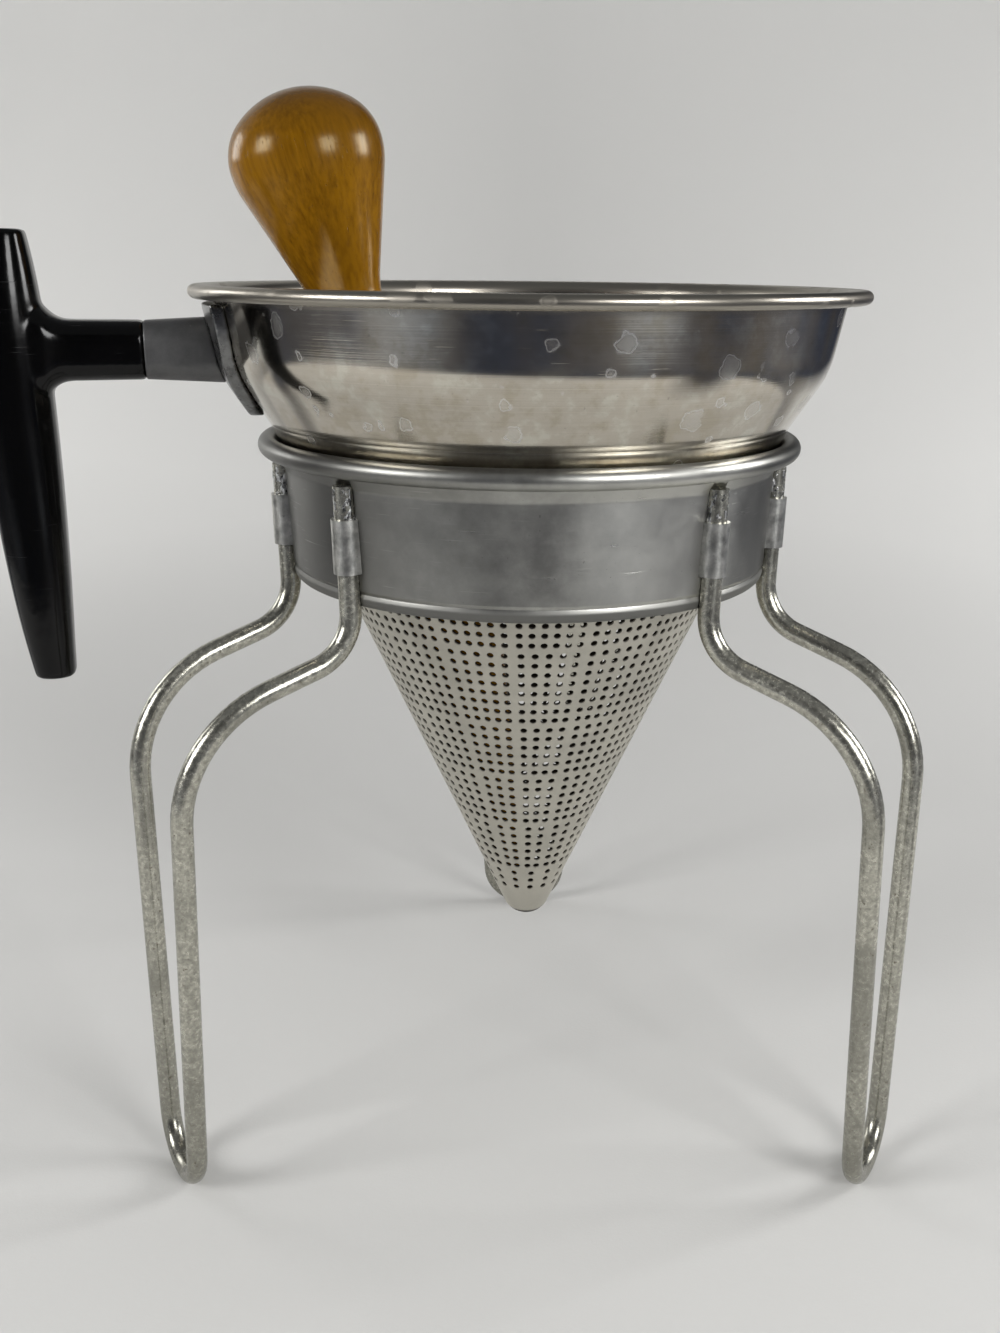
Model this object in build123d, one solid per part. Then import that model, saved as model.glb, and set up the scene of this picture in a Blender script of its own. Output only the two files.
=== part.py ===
"""Cone-sieve potato ricer: hopper with side handle, wire tripod stand and wooden pestle.

Millimetres, +Z up, the sieve axis is the Z axis and the feet stand on Z = 0.
"""
from build123d import *
import os
from math import atan2, cos, degrees, radians, sin, tan

# ---------------------------------------------------------------- hopper and sieve
RIM_RADIUS = 90.5          # outer edge of the rolled rim
RIM_HEIGHT = 240.3         # centre of the rolled rim
RIM_ROLL = 1.75            # radius of the rim roll
BOWL_SHEET = 1.0
LIP_UNDERSIDE = RIM_HEIGHT + RIM_ROLL - BOWL_SHEET
BOWL_TOP_RADIUS = 84.7
BOWL_WAIST = (80.8, 221.2)  # where the steep wall turns into the sloping wall
BOWL_WAIST_BEND = 25.0
BOWL_SLOPE_FOOT = (71.3, 206.7)
BOWL_BENDS = (2.6, BOWL_WAIST_BEND, 2.5, 2.5, 2.2, 2.0)  # from the lip down to the neck
BOWL_SEAT_RADIUS = 69.0    # drum that drops into the stand ring
BOWL_SEAT_TOP = 201.8
BOWL_SEAT_BOTTOM = 198.3
NECK_RADIUS = 63.4
NECK_TOP = 195.5
NECK_BOTTOM = 183.8
CONE_HALF_ANGLE = 24.1
CONE_APEX = 43.6           # height of the virtual apex
CONE_COLLAR = 7.0          # height of the collar inside the neck
CONE_TIP_RADIUS = 7.4
CONE_SHEET = 0.9
SEAM_GAP = 0.02

# ---------------------------------------------------------------- stand
RING_ROLL = 2.62
RING_RADIUS = 74.7         # outer edge of the ring roll
RING_HEIGHT = 200.7
BAND_SHEET = 1.0
BAND_TOP_RADIUS = 68.0
BAND_CREASE_RADIUS = 66.6
BAND_CREASE = 168.5
BAND_BOTTOM = 164.9
BAND_LIP_RADIUS = 62.4
BAND_LIP_RISE = 0.3
BAND_BENDS = (1.6, 3.0, 3.0)  # from the lip up to the roll
LEG_AZIMUTHS = (("front_left", 210.5), ("front_right", -29.5), ("back", 90.5))
WIRE = 5.6                 # wire diameter
WIRE_TOP = 195.7
LEG_HALF_SPACING = 21.1    # at the ring
LEG_RING_REACH = 65.1
LEG_KNEE = (64.0, 153.3)
LEG_KNEE_BEND = 14.0
LEG_SHOULDER = (109.8, 138.6)
LEG_SHOULDER_BEND = 34.0
LEG_SHOULDER_HALF_SPACING = 20.9
LEG_FOOT_REACH = 111.2
LEG_FOOT_HALF_SPACING = 12.2
LEG_FOOT_BEND = 12.4
FOOT_WEAR = 0.15           # depth of the worn flat under each foot
LOOP_TOP = 187.5
LOOP_BOTTOM = 173.8
LOOP_SHEET = 0.8
LOOP_GAP = 0.05
LOOP_WALL = 2.4            # straight run of a loop into the band
SLOT_GAP = 0.12            # gap beside the wire in the slot behind it
SLOT_DEPTH = 9.0

# ---------------------------------------------------------------- handle
HANDLE_AZIMUTH = 193.0
HANDLE_HEIGHT = 225.7
FLANGE_SHEET = 3.2
FLANGE_TOP = 237.5
FLANGE_TIP = 208.5
FLANGE_HALF_WIDTH = 19.3
FLANGE_WAIST = (13.9, 219.3)  # half-width at a height
FLANGE_FOOT = (4.6, 210.1)  # half-width at a height, where the round tip starts
FLANGE_BLOCK = (60.0, 40.0)  # reach and depth of the block the flange is cut from
RIVET_SPOTS = (("front", 11.5, 231.3), ("rear", -11.5, 231.3), ("low", 0.0, 214.8))
RIVET_RADIUS = 2.0
RIVET_HEAD = 3.8
RIVET_HEAD_SHEET = 1.4
RIVET_BLIND = 0.6          # flange left outside a rivet's bore
BORE_SPAN = (50.0, 100.0)  # reaches between which the wall is bored
FERRULE_START = 78.0
FERRULE_END = 101.8
FERRULE_SIZE = (15.4, 14.6)  # width, height
GRIP_REACH = 131.5
# height, reach of the inner side, reach of the outer side, width across
GRIP_SECTIONS = (
    (140.0, 5.2, 4.9, 12.5),
    (160.3, 5.9, 8.1, 16.0),
    (185.3, 6.5, 10.5, 18.5),
    (223.3, 6.0, 12.3, 20.0),
    (243.3, 4.6, 10.8, 18.0),
    (254.8, 2.9, 7.6, 14.0),
)
GRIP_FACE = GRIP_REACH + 12.3  # outer face of the grip at the screw
SCREW_HEAD = 3.8
SCREW_HEAD_SHEET = 2.4
SCREW_RADIUS = 2.0
SCREW_TIP = 84.0
SCREW_PLAY = 0.3
SCREW_RECESS = 5.0         # depth of the recess in the outer face of the grip
WASHER_SHEET = 1.0

# ---------------------------------------------------------------- pestle
PESTLE_AZIMUTH = 180.0
PESTLE_LEAN = 14.85
PESTLE_APEX = (-2.0, 41.3)  # reach towards the pestle side and height of its virtual apex
PESTLE_GAP = 0.35
PESTLE_TIP_RADIUS = 4.0
PESTLE_BELLY = 143.0       # distances along the pestle from its virtual apex
PESTLE_NECK = 202.0
KNOB_CENTRE = 241.1
KNOB_RADIUS = 20.5
KNOB_CROWN = 16.6          # height of the flattened crown over the widest part
KNOB_SHOULDER = 14.5       # bend between the crown and the widest part
KNOB_FLANK = 18.8          # slope of the pear-shaped flank
PESTLE_BENDS = (24.0, 16.0)  # at the neck and at the belly


def rounded_path(points, bends):
    """Straight runs joined by arcs: bends[i] is the radius at inner point i + 1."""
    pts = [Vector(*p) for p in points]
    edges = []
    start = pts[0]
    for corner, radius, before, after in zip(pts[1:-1], bends, pts[:-2], pts[2:]):
        a = (before - corner).normalized()
        b = (after - corner).normalized()
        half = radians(a.get_angle(b)) / 2
        reach = radius / tan(half)
        mid_dir = (a + b).normalized()
        middle = corner + mid_dir * (radius / sin(half) - radius)
        edges.append(Edge.make_line(start, corner + a * reach))
        edges.append(Edge.make_three_point_arc(corner + a * reach, middle, corner + b * reach))
        start = corner + b * reach
    edges.append(Edge.make_line(start, pts[-1]))
    return Wire(edges)


def sheet_of_revolution(points, bends, sheet, side=1):
    """Turned sheet whose outside follows the rounded path in the XZ plane."""
    flat = [(x, z, 0) for x, z in points]
    path = rounded_path(flat, bends)
    inner = path.offset_2d(sheet, side=Side.LEFT if side > 0 else Side.RIGHT, closed=True)
    face = Plane.XZ * Face(inner)
    return revolve(face, Axis.Z, 360)


def torus_at(outer_radius, height, roll):
    """Rolled edge."""
    return Pos(0, 0, height) * Torus(outer_radius - roll, roll)


def make_bowl():
    """Spun hopper with a rolled rim, a seat drum and a short neck."""
    outline = [
        (RIM_RADIUS - RIM_ROLL, LIP_UNDERSIDE),
        (BOWL_TOP_RADIUS, LIP_UNDERSIDE),
        BOWL_WAIST,
        BOWL_SLOPE_FOOT,
        (BOWL_SEAT_RADIUS, BOWL_SEAT_TOP),
        (BOWL_SEAT_RADIUS, BOWL_SEAT_BOTTOM),
        (NECK_RADIUS, NECK_TOP),
        (NECK_RADIUS, NECK_BOTTOM),
    ]
    return (sheet_of_revolution(outline, BOWL_BENDS, BOWL_SHEET, -1)
            + torus_at(RIM_RADIUS, RIM_HEIGHT, RIM_ROLL))


def make_cone():
    """Sieve cone with a closed round tip and a collar inside the neck."""
    collar = NECK_RADIUS - BOWL_SHEET - SEAM_GAP
    top = NECK_BOTTOM + CONE_COLLAR
    bend = CONE_APEX + collar / tan(radians(CONE_HALF_ANGLE))
    half = radians(CONE_HALF_ANGLE)
    centre = CONE_APEX + CONE_TIP_RADIUS / sin(half)

    def half_section(shrink):
        tip = CONE_TIP_RADIUS - shrink
        with BuildSketch(Plane.XZ) as section:
            with BuildLine():
                Line((0, centre - tip), (0, top))
                Line((0, top), (collar - shrink, top))
                Line((collar - shrink, top), (collar - shrink, bend - shrink * tan(half / 2)))
                Line((collar - shrink, bend - shrink * tan(half / 2)),
                     (tip * cos(half), centre - tip * sin(half)))
                RadiusArc((tip * cos(half), centre - tip * sin(half)), (0, centre - tip), tip)
            make_face()
        return section.sketch

    outside = revolve(half_section(0), Axis.Z, 360)
    inside = revolve(half_section(CONE_SHEET), Axis.Z, 360)
    return outside - inside


def leg_points():
    """Wire centre line in leg axes: radial X, tangential Y, from one end to the other."""
    side = [
        (LEG_RING_REACH, LEG_HALF_SPACING, WIRE_TOP),
        (LEG_KNEE[0], LEG_HALF_SPACING, LEG_KNEE[1]),
        (LEG_SHOULDER[0], LEG_SHOULDER_HALF_SPACING, LEG_SHOULDER[1]),
        (LEG_FOOT_REACH, LEG_FOOT_HALF_SPACING, WIRE / 2 - FOOT_WEAR),
    ]
    other = [(x, -y, z) for x, y, z in reversed(side)]
    return side + other


def make_leg(azimuth):
    """One hairpin leg bent from a single wire, with a worn flat under the foot."""
    path = rounded_path(
        leg_points(),
        [LEG_KNEE_BEND, LEG_SHOULDER_BEND, LEG_FOOT_BEND, LEG_FOOT_BEND,
         LEG_SHOULDER_BEND, LEG_KNEE_BEND],
    )
    section = Plane(path @ 0, z_dir=path % 0) * Circle(WIRE / 2)
    wire = sweep(section, path=path)
    wire -= Pos(LEG_FOOT_REACH, 0, -10) * Box(60, 60, 20)
    return Rot(0, 0, azimuth) * wire


def loop_solid(height):
    """Loop of sheet pushed out round a wire, straight where it runs into the band."""
    inner = WIRE / 2 + LOOP_GAP
    outer = inner + LOOP_SHEET
    shell = Cylinder(outer, height) + Pos(-LOOP_WALL / 2, 0, 0) * Box(LOOP_WALL, 2 * outer, height)
    hollow = Cylinder(inner, 2 * height) + Pos(-inner, 0, 0) * Box(2 * inner, 2 * inner, 2 * height)
    return shell - hollow - Pos(-LOOP_WALL - outer, 0, 0) * Box(LOOP_WALL + outer, 4 * outer, 2 * height)


def make_ring():
    """Stand band with a rolled top, a turned-in lip and six loops for the wire ends."""
    points = [
        (BAND_LIP_RADIUS, BAND_BOTTOM),
        (BAND_CREASE_RADIUS - BAND_SHEET, BAND_BOTTOM + BAND_LIP_RISE),
        (BAND_CREASE_RADIUS, BAND_CREASE),
        (BAND_TOP_RADIUS, RING_HEIGHT - 2.3 * RING_ROLL),
        (RING_RADIUS - RING_ROLL * 1.75, RING_HEIGHT - RING_ROLL * 0.6),
    ]
    band = sheet_of_revolution(points, BAND_BENDS, BAND_SHEET, 1)
    centre = (LOOP_TOP + LOOP_BOTTOM) / 2
    lean = (LEG_RING_REACH - LEG_KNEE[0]) / (WIRE_TOP - LEG_KNEE[1])
    reach = LEG_RING_REACH - (WIRE_TOP - centre) * lean
    slot_low = BAND_BOTTOM - WIRE / 2
    slot_high = WIRE_TOP + SLOT_GAP
    slot = (Pos(0, 0, (slot_low + slot_high) / 2 - centre)
            * Box(SLOT_DEPTH, WIRE + 2 * SLOT_GAP, slot_high - slot_low))
    for _, azimuth in LEG_AZIMUTHS:
        for side in (1, -1):
            face_out = degrees(atan2(side * LEG_HALF_SPACING, reach))
            here = (Rot(0, 0, azimuth) * Pos(reach, side * LEG_HALF_SPACING, centre)
                    * Rot(0, degrees(atan2(lean, 1)), 0) * Rot(0, 0, face_out))
            band = band - here * slot
            band = band + here * loop_solid(LOOP_TOP - LOOP_BOTTOM)
    return band + torus_at(RING_RADIUS, RING_HEIGHT, RING_ROLL)


def wall_region(grow):
    """Turned body outside the bowl wall, its inner face grown away from the wall."""
    foot = BOWL_SLOPE_FOOT
    slope = (BOWL_WAIST[0] - foot[0]) / (BOWL_WAIST[1] - foot[1])
    below = (foot[0] - 2.0 * slope, foot[1] - 2.0)
    top = (BOWL_TOP_RADIUS, LIP_UNDERSIDE)
    wall = rounded_path([(*top, 0), (*BOWL_WAIST, 0), (*below, 0)], [BOWL_WAIST_BEND])
    if grow:
        side = Side.LEFT if grow > 0 else Side.RIGHT
        wall = wall.offset_2d(abs(grow), side=side, closed=False)
    ends = sorted((tuple(wall @ 0)[:2], tuple(wall @ 1)[:2]), key=lambda point: -point[1])
    far = GRIP_REACH
    with BuildSketch(Plane.XZ) as section:
        with BuildLine():
            add(wall.edges())
            Polyline([ends[0], (far, ends[0][1]), (far, ends[1][1]), ends[1]])
        make_face()
    return revolve(section.sketch, Axis.Z, 360)


def wall_skin(start, finish):
    """Skin between two distances from the outside of the bowl wall."""
    return wall_region(start) - wall_region(finish)


def bar_along(radius, start, finish, across, height):
    """Round bar along the handle direction."""
    return (Pos((start + finish) / 2, across, height) * Rot(0, 90, 0)
            * Cylinder(radius, finish - start))


def flange_outline():
    """Tongue outline of the handle flange, seen along the handle."""
    with BuildSketch(Plane.YZ) as outline:
        with BuildLine():
            half = FLANGE_HALF_WIDTH
            shoulder = FLANGE_TOP - 2.0
            far_waist = (-FLANGE_WAIST[0], FLANGE_WAIST[1])
            far_foot = (-FLANGE_FOOT[0], FLANGE_FOOT[1])
            Polyline([(half, shoulder), (half, FLANGE_TOP), (-half, FLANGE_TOP), (-half, shoulder)])
            ThreePointArc((half, shoulder), FLANGE_WAIST, FLANGE_FOOT)
            ThreePointArc(FLANGE_FOOT, (0, FLANGE_TIP), far_foot)
            ThreePointArc(far_foot, far_waist, (-half, shoulder))
        make_face()
    return outline.sketch


def turn_to_handle(shape):
    """Swing a shape built along +X to the handle direction."""
    return Rot(0, 0, HANDLE_AZIMUTH) * shape


def make_bracket():
    """Cast flange that hugs the bowl wall under the rim."""
    reach, depth = FLANGE_BLOCK
    plate = wall_skin(SEAM_GAP, FLANGE_SHEET) & (Pos(reach, 0, 0) * extrude(flange_outline(), depth))
    for _, across, height in RIVET_SPOTS:
        bore = bar_along(RIVET_RADIUS + SEAM_GAP, *BORE_SPAN, across, height)
        plate -= bore - wall_region(FLANGE_SHEET - RIVET_BLIND)
    return plate - bar_along(SCREW_RADIUS + SEAM_GAP, *BORE_SPAN, 0, HANDLE_HEIGHT)


def make_rivet(across, height):
    """Rivet with a flat head inside the bowl, its shank blind in the flange."""
    inside = -BOWL_SHEET - SEAM_GAP
    head = (wall_skin(inside - RIVET_HEAD_SHEET, inside)
            & bar_along(RIVET_HEAD, *BORE_SPAN, across, height))
    shank = (wall_skin(inside - RIVET_HEAD_SHEET / 2, FLANGE_SHEET - RIVET_BLIND - SEAM_GAP)
             & bar_along(RIVET_RADIUS, *BORE_SPAN, across, height))
    return head + shank


def stub_section(reach, width, height):
    """Flattened round section across the handle at a reach."""
    corner = min(width, height) * 0.36
    return Pos(reach, 0, HANDLE_HEIGHT) * (Plane.YZ * RectangleRounded(width, height, corner))


def make_ferrule():
    """Short metal socket between flange and grip."""
    width, height = FERRULE_SIZE
    tube = loft([stub_section(FERRULE_START, width + 2.4, height + 2.4),
                 stub_section(FERRULE_END, width, height)])
    tube = tube & wall_region(FLANGE_SHEET + SEAM_GAP)
    bore = bar_along(SCREW_RADIUS + SCREW_PLAY, BORE_SPAN[0], GRIP_REACH, 0, HANDLE_HEIGHT)
    return tube - bore


def make_grip():
    """Moulded T grip: a flat stub and an upright palm bar."""
    slices = []
    for height, inner, outer, across in GRIP_SECTIONS:
        width = inner + outer
        corner = min(width, across) * 0.44
        slices.append(Pos(GRIP_REACH + (outer - inner) / 2, 0, height)
                      * RectangleRounded(width, across, corner))
    bar = loft(slices)
    width, height = FERRULE_SIZE
    start = FERRULE_END + SEAM_GAP
    root = GRIP_REACH - 6.4
    stub = loft([stub_section(start, width + 0.2, height + 0.2),
                 stub_section(root - 5.0, width + 0.4, height + 0.6)])
    flare = loft([stub_section(root - 5.0, width + 0.4, height + 0.6),
                  stub_section(root - 2.2, width + 0.9, height + 2.0),
                  stub_section(root + 0.6, width + 2.0, height + 7.0)])
    core = loft([stub_section(root + 0.6, width + 2.0, height + 7.0),
                 stub_section(GRIP_REACH + 3.0, width + 2.0, height + 7.0)])
    grip = bar + stub + flare + core
    bore = bar_along(SCREW_RADIUS + SCREW_PLAY, BORE_SPAN[1], GRIP_FACE, 0, HANDLE_HEIGHT)
    recess = bar_along(SCREW_HEAD + 2 * SCREW_PLAY, GRIP_FACE - SCREW_RECESS, GRIP_FACE + 5.0, 0,
                       HANDLE_HEIGHT)
    return grip - bore - recess


def make_screw():
    """Long handle screw with a slotted pan head sunk in the grip."""
    seat = GRIP_FACE - SCREW_RECESS + WASHER_SHEET + 2 * SEAM_GAP
    top = seat + SCREW_HEAD_SHEET
    shank = bar_along(SCREW_RADIUS, SCREW_TIP, seat + SCREW_HEAD_SHEET / 4, 0, HANDLE_HEIGHT)
    head = bar_along(SCREW_HEAD, seat, top, 0, HANDLE_HEIGHT)
    head = fillet(head.edges().filter_by(GeomType.CIRCLE).sort_by(Axis.X)[-1], 1.0)
    slot = Pos(top, 0, HANDLE_HEIGHT) * Box(SCREW_HEAD_SHEET * 0.9, 3 * SCREW_HEAD, 1.2)
    return shank + head - slot


def make_washer():
    """Split lock washer under the screw head."""
    seat = GRIP_FACE - SCREW_RECESS + SEAM_GAP
    outside = SCREW_HEAD - SCREW_PLAY
    disc = bar_along(outside, seat, seat + WASHER_SHEET, 0, HANDLE_HEIGHT)
    disc -= bar_along(SCREW_RADIUS + SCREW_PLAY / 2, BORE_SPAN[1], GRIP_FACE, 0, HANDLE_HEIGHT)
    split = Pos(seat, 0, HANDLE_HEIGHT + outside * 0.8) * Rot(35, 0, 0) * Box(4, 0.5, 2 * outside)
    return disc - split


def make_pestle():
    """Turned wooden pestle: blunt cone body, waist and pear-shaped knob, on +Z from its apex."""
    slope = radians(CONE_HALF_ANGLE - PESTLE_LEAN)
    tip = PESTLE_TIP_RADIUS
    tip_centre = tip / sin(slope)
    flank = radians(KNOB_FLANK)
    belly = PESTLE_BELLY * tan(slope)
    knob_edge = (KNOB_RADIUS * cos(flank), KNOB_CENTRE - KNOB_RADIUS * sin(flank))
    neck = (knob_edge[0] - (knob_edge[1] - PESTLE_NECK) * tan(flank), PESTLE_NECK)
    inset = KNOB_RADIUS - KNOB_SHOULDER
    dome = (inset**2 + KNOB_CROWN**2 - KNOB_SHOULDER**2) / (2 * (KNOB_CROWN - KNOB_SHOULDER))
    away = atan2(inset, dome - KNOB_CROWN)
    meet = (dome * sin(away), KNOB_CENTRE + KNOB_CROWN - dome + dome * cos(away))
    with BuildSketch(Plane.XZ) as section:
        with BuildLine():
            Line((0, tip_centre - tip), (0, KNOB_CENTRE + KNOB_CROWN))
            RadiusArc((0, KNOB_CENTRE + KNOB_CROWN), meet, dome)
            RadiusArc(meet, (KNOB_RADIUS, KNOB_CENTRE), KNOB_SHOULDER)
            RadiusArc((KNOB_RADIUS, KNOB_CENTRE), knob_edge, KNOB_RADIUS)
            path = rounded_path([(*knob_edge, 0), (*neck, 0), (belly, PESTLE_BELLY, 0),
                                 (tip * cos(slope), tip_centre - tip * sin(slope), 0)],
                                PESTLE_BENDS)
            add(path.edges())
            RadiusArc((tip * cos(slope), tip_centre - tip * sin(slope)), (0, tip_centre - tip), tip)
        make_face()
    body = revolve(section.sketch, Axis.Z, 360)
    shift = PESTLE_GAP / cos(radians(CONE_HALF_ANGLE))
    reach = PESTLE_APEX[0] - shift
    return Rot(0, 0, PESTLE_AZIMUTH) * Pos(reach, 0, PESTLE_APEX[1]) * Rot(0, PESTLE_LEAN, 0) * body


def bore_bowl(bowl):
    """Rivet holes through the bowl wall."""
    for _, across, height in RIVET_SPOTS:
        bowl -= turn_to_handle(bar_along(RIVET_RADIUS + SEAM_GAP, *BORE_SPAN, across, height))
    return bowl


NODES = {}
NODES["hopper_bowl"] = bore_bowl(make_bowl())
NODES["sieve_cone"] = make_cone()
NODES["stand_ring"] = make_ring()
for name, azimuth in LEG_AZIMUTHS:
    NODES["leg_" + name] = make_leg(azimuth)
NODES["handle_bracket"] = turn_to_handle(make_bracket())
for name, across, height in RIVET_SPOTS:
    NODES["bracket_rivet_" + name] = turn_to_handle(make_rivet(across, height))
NODES["handle_ferrule"] = turn_to_handle(make_ferrule())
NODES["handle_grip"] = turn_to_handle(make_grip())
NODES["handle_screw"] = turn_to_handle(make_screw())
NODES["handle_lock_washer"] = turn_to_handle(make_washer())
NODES["pestle"] = make_pestle()

os.makedirs("parts", exist_ok=True)
for name, shape in NODES.items():
    export_step(shape, "parts/" + name + ".step")
    box = shape.bounding_box()
    print(name, "valid", shape.is_valid, "volume", round(shape.volume, 1), "solids",
          len(shape.solids()), "box", box.min, box.max)
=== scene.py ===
"""Looks of a cone-sieve potato ricer on a wire tripod, with its turned wooden pestle."""

from math import acos, atan2, cos, pi, radians, sin, sqrt, tan

import bmesh
import bpy
from bpy.props import FloatProperty, FloatVectorProperty, IntProperty, PointerProperty
from mathutils import Matrix, Vector, noise
from mathutils.kdtree import KDTree


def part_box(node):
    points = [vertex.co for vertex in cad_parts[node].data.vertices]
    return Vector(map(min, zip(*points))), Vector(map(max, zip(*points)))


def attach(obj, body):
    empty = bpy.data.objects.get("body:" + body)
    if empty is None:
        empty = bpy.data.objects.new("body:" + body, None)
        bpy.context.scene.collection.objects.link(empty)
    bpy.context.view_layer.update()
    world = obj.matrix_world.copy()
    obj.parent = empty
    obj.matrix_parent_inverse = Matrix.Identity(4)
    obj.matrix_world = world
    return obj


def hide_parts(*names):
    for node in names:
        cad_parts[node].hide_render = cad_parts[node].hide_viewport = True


bl_info = {
    "name": "Cone-Sieve Ricer",
    "version": (1, 0, 0),
    "blender": (4, 5, 0),
    "location": "View3D > Sidebar > Ricer",
    "description": "Builds a cone-sieve ricer with its stand, handle and pestle",
    "category": "Add Mesh",
}

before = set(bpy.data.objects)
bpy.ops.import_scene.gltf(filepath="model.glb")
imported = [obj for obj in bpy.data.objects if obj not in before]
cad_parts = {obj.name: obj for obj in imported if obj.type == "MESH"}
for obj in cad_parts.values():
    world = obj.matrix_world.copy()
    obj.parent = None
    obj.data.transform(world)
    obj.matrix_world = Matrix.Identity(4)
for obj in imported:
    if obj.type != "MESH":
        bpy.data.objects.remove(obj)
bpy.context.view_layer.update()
BOWL_LOW, BOWL_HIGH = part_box("hopper_bowl")
CONE_LOW, CONE_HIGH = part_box("sieve_cone")
RING_LOW, RING_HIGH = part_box("stand_ring")
MM = 0.001
CLOSE = 1e-6  # points nearer to each other than this, in metres, are one point
LEVEL = 1e-7  # an edge whose ends differ less than this in height is level
SHARP = radians(35)  # edges where faces meet at more than this stay sharp


# ------------------------------------------------------------------ properties

def length(name, description, default):
    """Length property in metres."""
    return FloatProperty(name=name, description=description, default=default, unit="LENGTH",
                         subtype="DISTANCE", precision=5)


def angle(name, description, degrees):
    """Angle property."""
    return FloatProperty(name=name, description=description, default=radians(degrees),
                         unit="ROTATION", subtype="ANGLE")


def colour(name, description, default):
    """Colour property in linear light."""
    return FloatVectorProperty(name=name, description=description, default=default, size=3,
                               subtype="COLOR", min=0.0, max=1.0)


class StrainerSizes(bpy.types.PropertyGroup):
    """Sizes of the hopper and its sieve."""
    rim_radius: length("Rim radius", "Outer edge of the rolled rim", BOWL_HIGH.x)
    rim_top: length("Rim top", "Height of the top of the rim", BOWL_HIGH.z)
    rim_roll: length("Rim roll", "Radius of the rolled rim", 1.75 * MM)
    sheet: length("Sheet", "Thickness of the hopper sheet", 1.0 * MM)
    lip_radius: length("Lip radius", "Where the wall turns out into the lip", 84.7 * MM)
    waist_radius: length("Waist radius", "Where the steep wall meets the sloping wall", 80.8 * MM)
    waist_height: length("Waist height", "Height of that corner", 221.2 * MM)
    slope_reach: length("Slope foot", "Radius at the foot of the sloping wall", 71.3 * MM)
    slope_foot: length("Slope foot height", "Height at the foot of the sloping wall", 206.7 * MM)
    seat_radius: length("Seat radius", "Drum that drops into the stand ring", 69.0 * MM)
    seat_top: length("Seat top", "Upper edge of the drum", 201.8 * MM)
    seat_bottom: length("Seat bottom", "Lower edge of the drum", 198.3 * MM)
    neck_top: length("Neck top", "Upper edge of the neck", 195.5 * MM)
    neck_radius: length("Neck radius", "Outside of the neck", 63.4 * MM)
    neck_bottom: length("Neck bottom", "Lower edge of the neck", BOWL_LOW.z)
    cone_angle: angle("Cone angle", "Half-angle of the sieve", 24.1)
    cone_apex: length("Cone apex", "Height of the virtual apex of the sieve", 43.6 * MM)
    tip_radius: length("Tip radius", "Radius of the round tip", 7.4 * MM)
    cone_sheet: length("Sieve sheet", "Thickness of the sieve sheet", 0.9 * MM)
    hole_radius: length("Hole radius", "Radius of a sieve hole", 0.95 * MM)
    row_pitch: length("Row pitch", "Distance between rows of holes along the wall", 3.3 * MM)
    first_row: length("First row", "Distance of the lowest row from the virtual apex", 25.9 * MM)
    panels: IntProperty(name="Panels", description="Groups of holes round the sieve", default=16)
    first_gap: angle("First gap", "Azimuth of a gap between two groups of holes", -4.7)


class StandSizes(bpy.types.PropertyGroup):
    """Sizes of the band and the wire legs."""
    ring_radius: length("Ring radius", "Outer edge of the rolled ring", RING_HIGH.x)
    ring_top: length("Ring top", "Height of the top of the ring", RING_HIGH.z)
    roll: length("Ring roll", "Radius of the rolled edge", 2.62 * MM)
    sheet: length("Band sheet", "Thickness of the band", 1.0 * MM)
    band_radius: length("Band radius", "Outside of the band under the roll", 68.0 * MM)
    crease_radius: length("Crease radius", "Outside of the band at its crease", 66.6 * MM)
    crease: length("Crease height", "Height of the crease", 168.5 * MM)
    band_bottom: length("Band bottom", "Lowest edge of the band", RING_LOW.z)
    lip_radius: length("Lip radius", "Inner edge of the turned-in lip", 62.4 * MM)
    wire: length("Wire", "Diameter of the leg wire", 5.6 * MM)
    wire_top: length("Wire top", "Height of the wire ends", 195.7 * MM)
    ring_reach: length("Reach at ring", "Radial place of the wire at the ring", 65.1 * MM)
    half_spacing: length("Half spacing", "Half the gap between the wires at the ring", 21.1 * MM)
    knee_reach: length("Knee reach", "Radial place of the upper bend", 64.0 * MM)
    knee_height: length("Knee height", "Height of the upper bend", 153.3 * MM)
    knee_bend: length("Knee bend", "Radius of the upper bend", 14.0 * MM)
    shoulder_reach: length("Shoulder reach", "Radial place of the shoulder", 109.8 * MM)
    shoulder_height: length("Shoulder height", "Height of the shoulder corner", 138.6 * MM)
    shoulder_bend: length("Shoulder bend", "Radius of the shoulder", 34.0 * MM)
    shoulder_spacing: length("Shoulder spacing", "Half the gap at the shoulder", 20.9 * MM)
    foot_reach: length("Foot reach", "Radial place of the foot", 111.2 * MM)
    foot_spacing: length("Foot spacing", "Half the gap at the foot", 12.2 * MM)
    foot_bend: length("Foot bend", "Radius of the hairpin", 12.4 * MM)
    loop_top: length("Loop top", "Upper edge of the wire loops", 187.5 * MM)
    loop_bottom: length("Loop bottom", "Lower edge of the wire loops", 173.8 * MM)
    loop_sheet: length("Loop sheet", "Thickness of a loop", 0.8 * MM)
    turn: angle("Turn", "Turn of the whole stand under the hopper", 0.5)


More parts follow.
